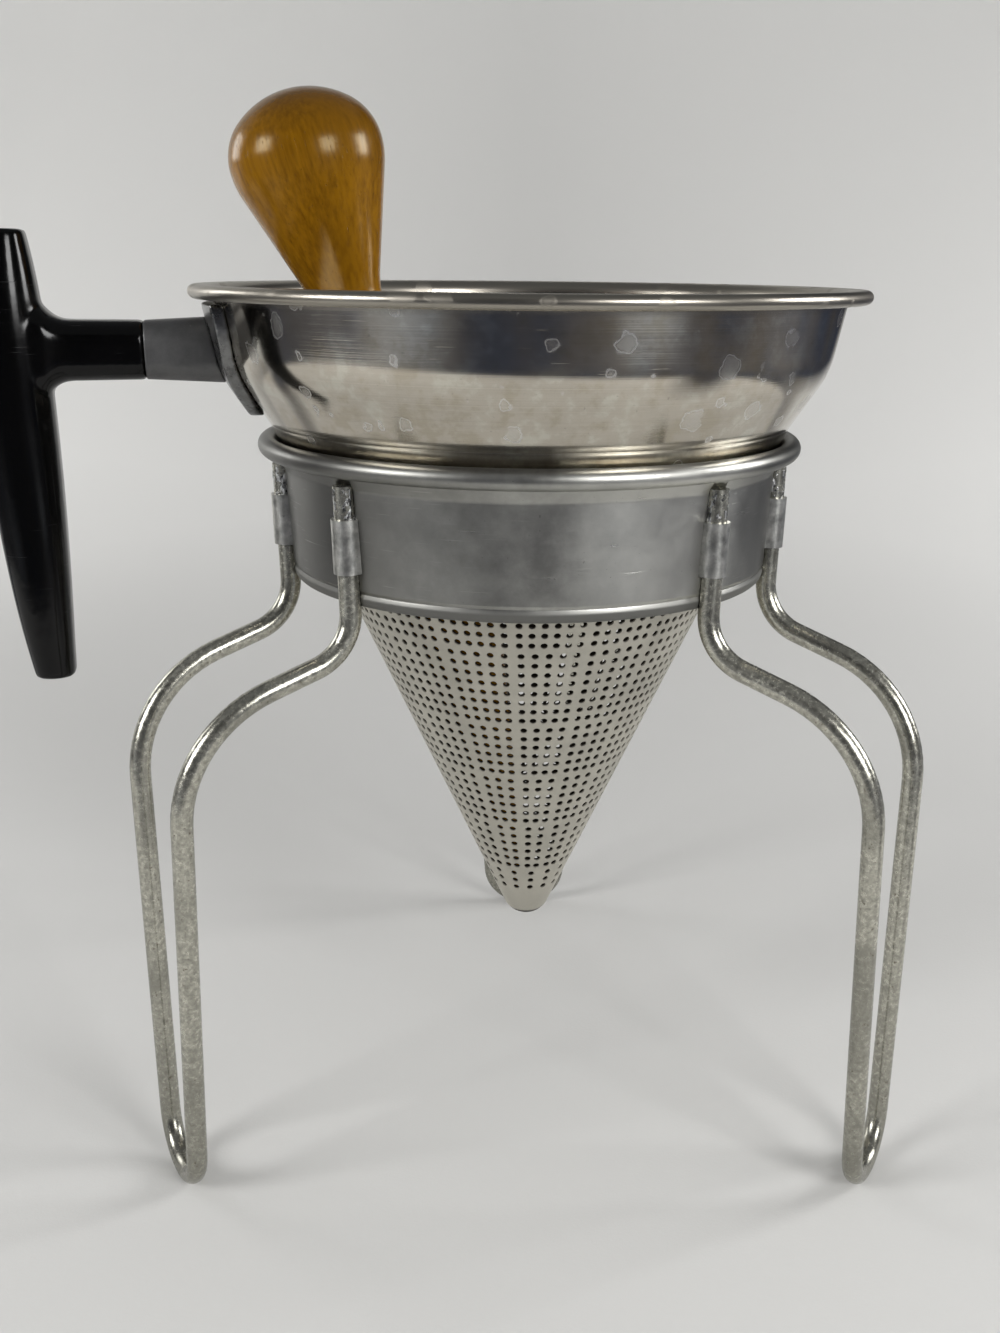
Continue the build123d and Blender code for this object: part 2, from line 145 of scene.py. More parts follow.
class PestleSizes(bpy.types.PropertyGroup):
    """Sizes and lean of the pestle."""
    lean: angle("Lean", "Lean of the pestle from upright", 14.85)
    apex_reach: length("Apex reach", "Radial place of its virtual apex", -2.0 * MM)
    apex_height: length("Apex height", "Height of its virtual apex", 41.3 * MM)
    gap: length("Wall gap", "Gap between pestle and sieve", 0.35 * MM)
    tip_radius: length("Tip radius", "Radius of the blunt tip", 4.0 * MM)
    belly: length("Belly", "Distance of the belly from the virtual apex", 143.0 * MM)
    neck: length("Neck", "Distance of the neck from the virtual apex", 202.0 * MM)
    knob: length("Knob", "Distance of the knob centre from the virtual apex", 241.1 * MM)
    knob_radius: length("Knob radius", "Radius of the knob", 20.5 * MM)
    crown: length("Crown", "Height of the flattened crown over the widest part", 16.6 * MM)
    shoulder: length("Shoulder", "Bend between the crown and the widest part", 14.5 * MM)
    flank: angle("Flank", "Slope of the flank of the knob", 18.8)


class FinishColours(bpy.types.PropertyGroup):
    """Colours of the finishes."""
    bowl: colour("Hopper", "Polished aluminium", (0.53, 0.49, 0.42))
    sieve: colour("Sieve", "Dull aluminium", (0.50, 0.48, 0.42))
    band: colour("Band", "Satin aluminium", (0.335, 0.332, 0.31))
    wire: colour("Wire", "Tinned wire", (0.44, 0.43, 0.37))
    bright_tin: colour("Bright tin", "Rough tinned wire ends", (0.80, 0.80, 0.79))
    bracket: colour("Bracket", "Cast bracket", (0.22, 0.22, 0.218))
    ferrule: colour("Ferrule", "Dull grey socket", (0.115, 0.114, 0.114))
    grip: colour("Grip", "Black moulding", (0.001, 0.001, 0.001))
    wood_light: colour("Wood light", "Light grain under amber varnish", (0.225, 0.102, 0.0035))
    wood_dark: colour("Wood dark", "Dark grain under amber varnish", (0.095, 0.040, 0.0015))
    screw: colour("Screw", "Steel fixings", (0.55, 0.55, 0.54))
    paper: colour("Paper", "Pale floor", (0.62, 0.615, 0.60))


class StageSizes(bpy.types.PropertyGroup):
    """Camera, lights and floor."""
    camera_distance: length("Camera distance", "Level distance from the sieve axis", 0.370)
    camera_height: length("Camera height", "Height over the floor", 0.2484)
    camera_pitch: angle("Camera pitch", "Downward tilt", 17.22)
    camera_yaw: angle("Camera yaw", "Turn towards +X", 0.35)
    camera_roll: angle("Camera roll", "Roll of the frame", 0.59)
    lens: FloatProperty(name="Lens", description="Focal length", default=35.4, unit="CAMERA")
    shift_x: FloatProperty(name="Shift", description="Sideways shift of the frame",
                           default=-0.0266)
    shift_y: FloatProperty(name="Rise", description="Upward shift of the frame", default=0.0007)
    sweep_radius: length("Sweep radius", "Radius of the round backdrop", 1.9)
    sweep_bend: length("Sweep bend", "Bend between floor and backdrop", 1.3)
    sweep_height: length("Sweep height", "Height of the backdrop", 1.8)
    lamp_distance: length("Lamp distance", "Distance of the lamps", 1.2)
    lamp_size: length("Lamp size", "Side of a lamp panel", 0.42)
    lamp_power: FloatProperty(name="Lamp power", description="Watts of each lamp", default=9.1)


# ------------------------------------------------------------------ outlines and meshes

def rounded_line(points, bends, steps=8):
    """Corner points joined by straight runs and arcs: bends[i] rounds points[i + 1]."""
    corners = [Vector(p) for p in points]
    line = [corners[0]]
    for before, corner, after, bend in zip(corners, corners[1:], corners[2:], bends):
        a = (before - corner).normalized()
        b = (after - corner).normalized()
        half = a.angle(b) / 2
        centre = corner + (a + b).normalized() * (bend / sin(half))
        start = corner + a * (bend / tan(half)) - centre
        end = corner + b * (bend / tan(half)) - centre
        sweep = start.angle(end)
        for step in range(steps + 1):
            share = step / steps
            spoke = (start * sin((1 - share) * sweep) + end * sin(share * sweep)) / sin(sweep)
            line.append(centre + spoke)
    line.append(corners[-1])
    return line


def offset_line(line, distance):
    """Line moved sideways by a distance, to the left of its direction in its own plane."""
    moved = []
    last = len(line) - 1
    for index, point in enumerate(line):
        along = line[min(index + 1, last)] - line[max(index - 1, 0)]
        along.normalize()
        moved.append(point + Vector((-along.y, along.x)) * distance)
    return moved


def arc(centre, radius, start, end, steps):
    """Points of a flat arc from one angle to another."""
    return [Vector((centre[0] + radius * cos(start + (end - start) * step / steps),
                    centre[1] + radius * sin(start + (end - start) * step / steps)))
            for step in range(steps + 1)]


def refine_line(line, spacing):
    """Line with extra points along its long straight runs, so its shading stays straight."""
    refined = []
    for first, second in zip(line, line[1:]):
        parts = max(1, round((second - first).length / spacing))
        refined += [first.lerp(second, part / parts) for part in range(parts)]
    return refined + [line[-1]]


def even_turns(count, start=0.0):
    """Evenly spaced angles of one full turn."""
    return [start + 2 * pi * step / count for step in range(count)]


def wrap_line(bm, line, turns, closed=False):
    """Flat line of radius and height wrapped round the Z axis at the given turns."""
    columns = len(turns)
    rows = len(line) if closed else len(line) - 1
    grid = bmesh.ops.create_grid(bm, x_segments=columns, y_segments=rows, size=1.0)["verts"]
    for vert in grid:
        turn = turns[round((vert.co.x + 1) / 2 * columns) % columns]
        point = line[round((vert.co.y + 1) / 2 * rows) % len(line)]
        vert.co = (point[0] * cos(turn), point[0] * sin(turn), point[1])
    bmesh.ops.remove_doubles(bm, verts=bm.verts, dist=CLOSE)


def soften(bm):
    """Smooth faces with sharp edges where they meet at more than an angle."""
    for face in bm.faces:
        face.smooth = True
    for edge in bm.edges:
        edge.smooth = len(edge.link_faces) == 2 and edge.calc_face_angle(0.0) < SHARP


def make_piece(name, bm, material, body, replaced=(), recalculate=True):
    """Mesh object from a bmesh, riding on a body in place of some CAD nodes."""
    if recalculate:
        bmesh.ops.recalc_face_normals(bm, faces=bm.faces)
    soften(bm)
    mesh = bpy.data.meshes.new(name)
    bm.to_mesh(mesh)
    bm.free()
    mesh.materials.append(material)
    piece = bpy.data.objects.new(name, mesh)
    bpy.context.scene.collection.objects.link(piece)
    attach(piece, body)
    if replaced:
        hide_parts(*replaced)
    return piece


def softened_copy(name, node, voxel, rounds, material, body):
    """Copy of a CAD node with its edges slightly rounded."""
    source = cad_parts[node]
    bm = bmesh.new()
    bm.from_mesh(source.data)
    bmesh.ops.remove_doubles(bm, verts=bm.verts, dist=CLOSE)
    mesh = bpy.data.meshes.new(name + "_rough")
    bm.to_mesh(mesh)
    bm.free()
    helper = bpy.data.objects.new(name + "_rough", mesh)
    bpy.context.scene.collection.objects.link(helper)
    remesh = helper.modifiers.new("Remesh", "REMESH")
    remesh.mode = "VOXEL"
    remesh.voxel_size = voxel
    bpy.context.view_layer.update()
    made = helper.evaluated_get(bpy.context.evaluated_depsgraph_get()).to_mesh()
    bm = bmesh.new()
    bm.from_mesh(made)
    for _ in range(rounds):
        bmesh.ops.smooth_vert(bm, verts=bm.verts, factor=0.5, use_axis_x=True, use_axis_y=True,
                              use_axis_z=True)
    bpy.data.objects.remove(helper)
    bpy.data.meshes.remove(mesh)
    return make_piece(name, bm, material, body, (node,), recalculate=False)


# ------------------------------------------------------------------ shader groups

class Tree:
    """Short way to add and join nodes in a node tree."""

    def __init__(self, tree):
        self.tree = tree

    def add(self, kind, **settings):
        """New node with its settings and its input values or links."""
        values = settings.pop("values", {})
        node = self.tree.nodes.new(kind)
        for key, value in settings.items():
            setattr(node, key, value)
        for key, value in values.items():
            self.put(node, key, value)
        return node

    def put(self, node, key, value):
        """Sets or links an input."""
        if isinstance(value, bpy.types.NodeSocket):
            self.tree.links.new(value, node.inputs[key])
        else:
            node.inputs[key].default_value = value

    def math(self, operation, first, second=0.0, clamp=False):
        """Math node's result."""
        node = self.add("ShaderNodeMath", operation=operation, use_clamp=clamp,
                        values={0: first, 1: second})
        return node.outputs[0]

    def total(self, start, *shares):
        """Start value plus each further value times its weight."""
        for value, weight in shares:
            start = self.math("ADD", start, self.math("MULTIPLY", value, weight))
        return start

    def split(self, vector):
        """The X, Y and Z of a vector."""
        return self.add("ShaderNodeSeparateXYZ", values={"Vector": vector}).outputs

    def radius(self, x, y):
        """Distance from the Z axis."""
        return self.math("SQRT", self.total(self.math("MULTIPLY", x, x), (y, y)))

    def noise(self, vector, scale, detail=3.0, rough=0.5):
        """Noise value of a vector."""
        node = self.add("ShaderNodeTexNoise", values={"Vector": vector, "Scale": scale,
                        "Detail": detail, "Roughness": rough})
        return node.outputs["Fac"]

    def ramp(self, value, low, high):
        """Value stretched so that low becomes 0 and high becomes 1, held in between."""
        node = self.add("ShaderNodeMapRange", clamp=True, values={"Value": value,
                        "From Min": low, "From Max": high, "To Min": 0.0, "To Max": 1.0})
        return node.outputs["Result"]

    def mix(self, share, first, second):
        """Mixed colour."""
        node = self.add("ShaderNodeMix", data_type="RGBA", clamp_factor=True)
        self.put(node, 0, share)
        self.put(node, 6, first)
        self.put(node, 7, second)
        return node.outputs[2]

    def tint(self, base, mask, amount, colour):
        """Colour laid over a base, by an amount of a mask."""
        return self.mix(self.math("MULTIPLY", mask, amount), base, colour)

    def place(self, vector, scale, rotation=(0, 0, 0)):
        """Scaled and turned coordinates."""
        node = self.add("ShaderNodeMapping", values={"Vector": vector, "Scale": scale,
                        "Rotation": rotation})
        return node.outputs["Vector"]


def shader_group(name, inputs, outputs):
    """Empty shader group with named float inputs and outputs, and its inside tree."""
    group = bpy.data.node_groups.new(name, "ShaderNodeTree")
    for label, default in inputs.items():
        socket = group.interface.new_socket(label, in_out="INPUT", socket_type="NodeSocketFloat")
        socket.default_value = default
    for label in outputs:
        group.interface.new_socket(label, in_out="OUTPUT", socket_type="NodeSocketFloat")
    inside = Tree(group)
    entry = inside.add("NodeGroupInput")
    leave = inside.add("NodeGroupOutput")
    where = inside.add("ShaderNodeTexCoord").outputs["Object"]
    return group, inside, entry.outputs, leave, where


def turned_lines_group():
    """Fine rings left by turning, round the Z axis."""
    group, t, ins, leave, where = shader_group(
        "turned_lines", {"Lines per metre": 2600.0, "Waver": 0.15}, ("Lines", "Bands"))
    x, y, z = t.split(where)
    drift = t.noise(t.place(where, (18, 18, 60)), 1.0, 2.0)
    wander = t.math("MULTIPLY", t.math("SUBTRACT", drift, 0.5), t.math("MULTIPLY", ins[1], MM))
    height = t.math("ADD", t.total(z, (t.radius(x, y), 0.6)), wander)
    ring = t.add("ShaderNodeCombineXYZ", values={0: height, 1: 0.0, 2: 0.0}).outputs[0]
    lines = t.noise(ring, ins[0], 2.0, 0.7)
    bands = t.noise(ring, 320.0, 3.0, 0.6)
    t.put(leave, 0, lines)
    t.put(leave, 1, bands)
    return group


def water_spots_group():
    """Dried water spots with paler middles and thin rims."""
    group, t, ins, leave, where = shader_group(
        "water_spots", {"Spots per metre": 110.0, "Amount": 0.5}, ("Film", "Rim"))
    warp = t.add("ShaderNodeTexNoise", values={"Vector": where, "Scale": 260.0, "Detail": 2.0})
    shift = t.add("ShaderNodeVectorMath", operation="SCALE",
                  values={0: warp.outputs["Color"], "Scale": 0.004}).outputs[0]
    vector = t.add("ShaderNodeVectorMath", operation="ADD", values={0: where, 1: shift}).outputs[0]
    cells = t.add("ShaderNodeTexVoronoi", values={"Vector": vector, "Scale": ins[0],
                  "Randomness": 1.0})
    size = t.add("ShaderNodeSeparateColor", values={0: cells.outputs["Color"]}).outputs[0]
    limit = t.math("MULTIPLY", t.ramp(size, t.math("SUBTRACT", 1.0, ins[1]), 1.0), 0.42)
    inside = t.math("SUBTRACT", limit, cells.outputs["Distance"])
    t.put(leave, 0, t.ramp(inside, 0.0, 0.09))
    rim = t.math("SUBTRACT", 1.0, t.math("MULTIPLY", t.math("ABSOLUTE", inside), 22.0), clamp=True)
    t.put(leave, 1, t.math("MULTIPLY", rim, t.ramp(limit, 0.02, 0.1)))
    return group


def scratches_group():
    """Thin straight scratches in two crossing directions, worn in patches."""
    group, t, ins, leave, where = shader_group(
        "scratches", {"Density": 0.5, "Patchiness": 0.5}, ("Scratches",))
    found = None
    for index, turn in enumerate((0.25, -0.7, 1.2)):
        long = t.place(where, (70, 70, 2600), (turn, 0.3 * turn, turn))
        lines = t.noise(long, 1.0, 1.0, 0.4)
        edge = t.math("SUBTRACT", 0.78, t.math("MULTIPLY", ins[0], 0.14))
        line = t.ramp(lines, edge, t.math("ADD", edge, 0.05))
        bare = t.math("MULTIPLY", ins[1], 0.9)
        patch = t.ramp(t.noise(where, 45.0 + 20 * index, 2.0), bare, t.math("ADD", bare, 0.15))
        line = t.math("MULTIPLY", line, patch)
        found = line if found is None else t.math("MAXIMUM", found, line)
    t.put(leave, 0, found)
    return group


def mottle_group():
    """Cloudy tone with small dark specks."""
    group, t, ins, leave, where = shader_group(
        "mottle", {"Clouds per metre": 120.0, "Specks": 0.4}, ("Clouds", "Specks"))
    t.put(leave, 0, t.noise(where, ins[0], 5.0, 0.65))
    fine = t.noise(where, 950.0, 3.0, 0.6)
    edge = t.math("SUBTRACT", 0.78, t.math("MULTIPLY", ins[1], 0.2))
    t.put(leave, 1, t.ramp(fine, edge, t.math("ADD", edge, 0.04)))
    return group


def wood_grain_group():
    """Long close grain with pores, along the Z axis of its own turned coordinates."""
    group, t, ins, leave, where = shader_group(
        "wood_grain", {"Rings per metre": 190.0, "Pores": 0.5}, ("Grain", "Pores"))
    upright = t.place(where, (1, 1, 1), (0, 0.26, 0))
    soft = t.noise(t.place(upright, (26, 26, 4)), 1.0, 2.0)
    x, y, _ = t.split(upright)
    ring = t.total(t.math("MULTIPLY", t.total(x, (y, 0.35)), ins[0]), (soft, 7.0))
    wave = t.math("ADD", t.math("MULTIPLY", t.math("SINE", ring), 0.5), 0.5)
    fibre = t.noise(t.place(upright, (820, 820, 17)), 1.0, 3.0, 0.6)
    t.put(leave, 0, t.total(t.math("MULTIPLY", wave, 0.12), (fibre, 0.88)))
    pores = t.noise(t.place(upright, (2600, 2600, 260)), 1.0, 1.0)
    edge = t.math("SUBTRACT", 0.8, t.math("MULTIPLY", ins[1], 0.2))
    t.put(leave, 1, t.ramp(pores, edge, t.math("ADD", edge, 0.06)))
    return group


GROUP_MAKERS = {
    "turned_lines": turned_lines_group,
    "water_spots": water_spots_group,
    "scratches": scratches_group,
    "mottle": mottle_group,
    "wood_grain": wood_grain_group,
}


def finish_material(name, metallic=0.0):
    """Plain Principled material with its tree, shader and object coordinates."""
    material = bpy.data.materials.new(name)
    material.use_nodes = True
    t = Tree(material.node_tree)
    shader = material.node_tree.nodes["Principled BSDF"]
    shader.inputs["Metallic"].default_value = metallic
    where = t.add("ShaderNodeTexCoord").outputs["Object"]
    return material, t, shader, where


def use_group(t, name, **values):
    """Group node placed in a material, its group built at its first use; _ stands for a space."""
    tree = bpy.data.node_groups.get(name) or GROUP_MAKERS[name]()
    node = t.add("ShaderNodeGroup", node_tree=tree)
    for label, value in values.items():
        t.put(node, label.replace("_", " "), value)
    return node


def surface(t, shader, base, rough, height, depth):
    """Colour, roughness and a bump of a depth, into the shader."""
    t.put(shader, "Base Color", base)
    t.put(shader, "Roughness", rough)
    bump = t.add("ShaderNodeBump", values={"Height": height, "Distance": depth})
    t.put(shader, "Normal", bump.outputs[0])


def shade(value, tone=1.0):
    """Colour times a tone, with alpha."""
    return (*(channel * tone for channel in value), 1.0)


WARM_STAIN = shade((0.38, 0.335, 0.25))
PALE_STAIN = shade((0.62, 0.61, 0.53))
SPOT_FILM = shade((0.7, 0.69, 0.66))
SPOT_RIM = shade((0.72, 0.71, 0.7))
# Near-black painted shade for the inside of the sieve cone.
SIEVE_INSIDE_SHADE = shade((0.03, 0.024, 0.018))
WIRE_SPECKS = shade((0.10, 0.075, 0.05))
GRIP_SCUFFS = shade((0.03, 0.03, 0.03))
VARNISH_TINT = shade((1.0, 0.86, 0.55))
KNOB_TOP_SHADE = (0.268, 0.291)  # heights between which the top of the knob gets painted shade


def polished_bowl(colours):
    """Polished aluminium with turning rings, dried water spots and smears, and painted shade on the
    top of the rim.
    """
    material, t, shader, where = finish_material("polished_aluminium", 1.0)
    turned = use_group(t, "turned_lines", Lines_per_metre=2600.0, Waver=0.4)
    spots = use_group(t, "water_spots", Spots_per_metre=125.0, Amount=0.75)
    marks = use_group(t, "scratches", Density=0.35, Patchiness=0.5)
    smear = t.noise(t.place(where, (20, 20, 45)), 1.0, 4.0, 0.6)
    stains = use_group(t, "mottle", Clouds_per_metre=130.0, Specks=0.5)
    lines, bands = turned.outputs
    film, rim = spots.outputs
    cloud, specks = stains.outputs
    base = t.mix(t.ramp(smear, 0.35, 0.7), shade(colours.bowl, 0.8), shade(colours.bowl))
    base = t.tint(base, t.ramp(cloud, 0.52, 0.62), 0.55, WARM_STAIN)
    base = t.tint(base, t.ramp(cloud, 0.47, 0.38), 0.55, PALE_STAIN)
    base = t.tint(base, t.ramp(bands, 0.45, 0.75), 0.35, shade(colours.bowl, 0.62))
    base = t.tint(base, t.ramp(lines, 0.5, 0.7), 0.4, shade(colours.bowl, 1.2))
    base = t.tint(base, film, 0.3, SPOT_FILM)
    base = t.tint(base, rim, 0.6, SPOT_RIM)
    base = t.tint(base, specks, 0.5, shade(colours.bowl, 0.5))
    rough = t.total(0.05, (smear, 0.07), (film, 0.14), (rim, 0.2), (lines, 0.05))
    # The top of the rim is darker, which is painted shade, and rougher, which is wear.
    top = bpy.context.scene.ricer_strainer.rim_top
    worn = t.ramp(t.split(where)[2], top - 5 * MM, top - 3 * MM)
    base = t.mix(worn, base, shade(colours.bowl, 0.62))
    rough = t.total(rough, (worn, 0.2))
    height = t.total(lines, (bands, 1.6), (marks.outputs[0], -0.6))
    surface(t, shader, base, rough, height, 0.009 * MM)
    return material


def dull_sieve(colours):
    """Unpolished aluminium of the perforated sieve, with near-black painted shade on the inside of
    the cone.
    """
    material, t, shader, where = finish_material("dull_aluminium", 0.85)
    cloud, specks = use_group(t, "mottle", Clouds_per_metre=70.0, Specks=0.25).outputs
    lines = use_group(t, "turned_lines", Lines_per_metre=1500.0, Waver=0.6).outputs["Lines"]
    sizes = bpy.context.scene.ricer_strainer
    x, y, z = t.split(where)
    wall = t.math("MULTIPLY", t.math("SUBTRACT", z, sizes.cone_apex), tan(sizes.cone_angle))
    depth = t.math("SUBTRACT", wall, t.radius(x, y))
    # Painted shade: the inside face of the cone is laid over with a near-black colour.
    inside = t.ramp(depth, sizes.cone_sheet * 0.25, sizes.cone_sheet * 0.6)
    base = t.mix(t.ramp(cloud, 0.3, 0.75), shade(colours.sieve, 0.84), shade(colours.sieve, 1.06))
    base = t.tint(base, specks, 0.4, shade(colours.sieve, 0.5))
    base = t.mix(inside, base, SIEVE_INSIDE_SHADE)
    surface(t, shader, base, t.total(0.46, (cloud, 0.16)), t.math("ADD", lines, cloud), 0.02 * MM)
    return material


def satin_band(colours):
    """Satin aluminium of the stand band, scratched, with painted shade at its sides and on its lip
    and a painted highlight at its front.
    """
    material, t, shader, where = finish_material("satin_aluminium", 1.0)
    lines = use_group(t, "turned_lines", Lines_per_metre=3200.0, Waver=0.2).outputs["Lines"]
    marks = use_group(t, "scratches", Density=0.45, Patchiness=0.5).outputs[0]
    cloud, specks = use_group(t, "mottle", Clouds_per_metre=90.0, Specks=0.4).outputs
    across, _, upward = t.split(where)
    base = t.mix(t.ramp(cloud, 0.35, 0.65), shade(colours.band, 0.84), shade(colours.band, 1.2))
    # Painted shade over the left side and the right edge of the band.
    painted_side_shade = t.math("MAXIMUM", t.ramp(across, 0.0, -50 * MM), t.ramp(across, 48 * MM, 60 * MM))
    base = t.mix(painted_side_shade, base, shade(colours.band, 0.45))
    # Painted highlight on the front right of the band.
    painted_highlight = t.math("MULTIPLY", t.ramp(across, 5 * MM, 30 * MM), t.ramp(across, 54 * MM, 42 * MM))
    base = t.tint(base, painted_highlight, 0.6, shade(colours.band, 1.8))
    base = t.tint(base, marks, 0.3, shade(colours.band, 1.4))
    base = t.tint(base, specks, 0.5, shade(colours.band, 0.45))
    # Below the crease the turned-in lip gets painted shade, and is rougher.
    crease = bpy.context.scene.ricer_stand.crease
    lip = t.ramp(upward, crease, crease - 1.5 * MM)
    base = t.tint(base, lip, 0.9, shade(colours.band, 0.5))
    rough = t.total(0.30, (cloud, 0.16), (marks, -0.1), (lip, 0.25))
    surface(t, shader, base, rough, t.total(lines, (marks, -0.5)), 0.02 * MM)
    return material


def worn_sheet(colours):
    """Rubbed and dented sheet of the wire loops."""
    material, t, shader, _ = finish_material("worn_sheet", 1.0)
    cloud, specks = use_group(t, "mottle", Clouds_per_metre=260.0, Specks=0.5).outputs
    base = t.mix(t.ramp(cloud, 0.35, 0.65), shade(colours.band), shade(colours.band, 1.9))
    base = t.tint(base, specks, 0.5, shade(colours.band, 0.4))
    surface(t, shader, base, t.total(0.24, (cloud, 0.2)), cloud, 0.2 * MM)
    return material


def tinned_wire(colours):
    """Dull tinned steel wire, mottled and specked, darker towards the feet."""
    material, t, shader, where = finish_material("tinned_wire", 0.9)
    cloud, specks = use_group(t, "mottle", Clouds_per_metre=800.0, Specks=0.62).outputs
    wide = t.noise(where, 40.0, 3.0, 0.6)
    base = t.mix(t.ramp(cloud, 0.36, 0.64), shade(colours.wire, 0.62), shade(colours.wire, 1.25))
    base = t.tint(base, t.ramp(wide, 0.5, 0.62), 0.6, shade(colours.wire, 0.5))
    base = t.tint(base, t.ramp(t.split(where)[2], 60 * MM, 5 * MM), 0.6,
                  shade(colours.wire, 0.45))
    base = t.tint(base, specks, 0.85, WIRE_SPECKS)
    surface(t, shader, base, t.total(0.14, (cloud, 0.22)), cloud, 0.04 * MM)
    return material


def bright_tin(colours):
    """Rough bright metal of the pinched wire ends."""
    material, t, shader, where = finish_material("bright_tin", 1.0)
    grain = t.noise(t.place(where, (900, 900, 420)), 1.0, 4.0, 0.65)
    base = t.mix(t.ramp(grain, 0.45, 0.6), shade(colours.bright_tin, 0.12),
                 shade(colours.bright_tin))
    surface(t, shader, base, t.total(0.18, (grain, 0.2)), grain, 0.5 * MM)
    return material


def cast_bracket(colours):
    """Polished casting with soft smears."""
    material, t, shader, _ = finish_material("cast_aluminium", 1.0)
    cloud, specks = use_group(t, "mottle", Clouds_per_metre=90.0, Specks=0.3).outputs
    base = t.mix(t.ramp(cloud, 0.35, 0.65), shade(colours.bracket, 0.4),
                 shade(colours.bracket, 1.3))
    base = t.tint(base, specks, 0.4, shade(colours.bracket, 0.4))
    surface(t, shader, base, t.total(0.2, (cloud, 0.16)), cloud, 0.06 * MM)
    return material


def dull_ferrule(colours):
    """Dark matt casting of the handle socket."""
    material, t, shader, where = finish_material("dull_casting", 0.8)
    cloud, specks = use_group(t, "mottle", Clouds_per_metre=160.0, Specks=0.5).outputs
    fine = t.noise(where, 1500.0, 3.0, 0.7)
    base = t.mix(t.ramp(cloud, 0.3, 0.7), shade(colours.ferrule, 0.8),
                 shade(colours.ferrule, 1.15))
    base = t.tint(base, specks, 0.4, shade(colours.ferrule, 1.9))
    surface(t, shader, base, t.total(0.42, (fine, 0.14)), fine, 0.06 * MM)
    return material


def black_moulding(colours):
    """Glossy black moulded grip with faint handling marks."""
    material, t, shader, where = finish_material("black_moulding")
    shader.inputs["Specular IOR Level"].default_value = 0.22
    marks = use_group(t, "scratches", Density=0.2, Patchiness=0.45).outputs[0]
    haze = t.noise(where, 60.0, 4.0, 0.6)
    base = t.mix(t.math("MULTIPLY", marks, 0.25), shade(colours.grip), GRIP_SCUFFS)
    rough = t.total(0.12, (t.ramp(haze, 0.4, 0.8), 0.14), (marks, 0.15))
    surface(t, shader, base, rough, haze, 0.08 * MM)
    return material


def varnished_wood(colours):
    """Close-grained wood under amber varnish, with painted shade on the top of the knob."""
    material, t, shader, where = finish_material("varnished_wood")
    shader.inputs["Specular IOR Level"].default_value = 0.26
    shader.inputs["Specular Tint"].default_value = VARNISH_TINT
    grain, pores = use_group(t, "wood_grain", Rings_per_metre=210.0, Pores=0.45).outputs
    wide = t.noise(t.place(where, (30, 30, 14)), 1.0, 3.0)
    base = t.mix(t.ramp(grain, 0.3, 0.62), shade(colours.wood_dark), shade(colours.wood_light))
    base = t.tint(base, t.ramp(wide, 0.42, 0.72), 0.6, shade(colours.wood_dark, 1.4))
    # Painted shade over the top of the knob.
    base = t.tint(base, t.ramp(t.split(where)[2], *KNOB_TOP_SHADE), 0.8,
                  shade(colours.wood_dark, 0.6))
    base = t.tint(base, pores, 0.5, shade(colours.wood_dark, 0.5))
    height = t.math("SUBTRACT", t.math("MULTIPLY", grain, 0.6), pores)
    surface(t, shader, base, t.total(0.15, (wide, 0.12)), height, 0.06 * MM)
    return material


def steel_fixing(colours):
    """Plain steel of rivets, screw and washer."""
    material, t, shader, _ = finish_material("steel_fixing", 1.0)
    cloud = use_group(t, "mottle", Clouds_per_metre=400.0, Specks=0.35).outputs["Clouds"]
    base = t.mix(cloud, shade(colours.screw, 0.8), shade(colours.screw, 1.1))
    surface(t, shader, base, t.total(0.25, (cloud, 0.2)), cloud, 0.04 * MM)
    return material


MATERIAL_MAKERS = {
    "polished_aluminium": polished_bowl,
    "dull_aluminium": dull_sieve,
    "satin_aluminium": satin_band,
    "worn_sheet": worn_sheet,
    "tinned_wire": tinned_wire,
    "bright_tin": bright_tin,
    "cast_aluminium": cast_bracket,
    "dull_casting": dull_ferrule,
    "black_moulding": black_moulding,
    "varnished_wood": varnished_wood,
    "steel_fixing": steel_fixing,
}


def material_named(name):
    """Material by name, made at its first use."""
    found = bpy.data.materials.get(name)
    return found or MATERIAL_MAKERS[name](bpy.context.scene.ricer_colours)


# ------------------------------------------------------------------ strainer

class RICER_OT_hopper(bpy.types.Operator):
    """Spun hopper with its rolled rim, seat drum and neck"""
    bl_idname = "ricer.hopper"
    bl_label = "Hopper"

    def execute(self, context):
        s = context.scene.ricer_strainer
        roll_height = s.rim_top - s.rim_roll
        roll_reach = s.rim_radius - s.rim_roll
        lip = s.rim_top - s.sheet
        corners = [
            (s.neck_radius, s.neck_bottom),
            (s.neck_radius, s.neck_top),
            (s.seat_radius, s.seat_bottom),
            (s.seat_radius, s.seat_top),
            (s.slope_reach, s.slope_foot),
            (s.waist_radius, s.waist_height),
            (s.lip_radius, lip),
            (roll_reach, lip),
        ]
        bends = [2.0 * MM, 2.2 * MM, 2.5 * MM, 2.5 * MM, 25.0 * MM, 2.6 * MM]
        outside = refine_line(rounded_line(corners, bends, 10)[:-1], 1.5 * MM)
        inside = offset_line(outside, s.sheet)
        join = acos((s.rim_roll - s.sheet) / s.rim_roll)
        roll = arc((roll_reach, roll_height), s.rim_roll, pi / 2 + join, -3 * pi / 2, 22)
        bm = bmesh.new()
        wrap_line(bm, outside + roll + inside[::-1], even_turns(288), closed=True)
        make_piece("hopper", bm, material_named("polished_aluminium"), "strainer",
                   ("hopper_bowl",))
        return {"FINISHED"}


# Rows in each group from the tip up; a panel has one more hole per row in each next group.
ROWS_PER_GROUP = (3, 6, 6, 6, 8, 8)
HOLE_SIDES = 12
WIDE_GAP = 0.2  # extra gap between two panels, as a share of a hole's place


def cone_point(s, turn, slant, sink=0.0):
    """Point on the sieve at a turn and a distance from the virtual apex along the wall."""
    radius = slant * sin(s.cone_angle) - sink * cos(s.cone_angle)
    height = s.cone_apex + slant * cos(s.cone_angle) + sink * sin(s.cone_angle)
    return Vector((radius * cos(turn), radius * sin(turn), height))


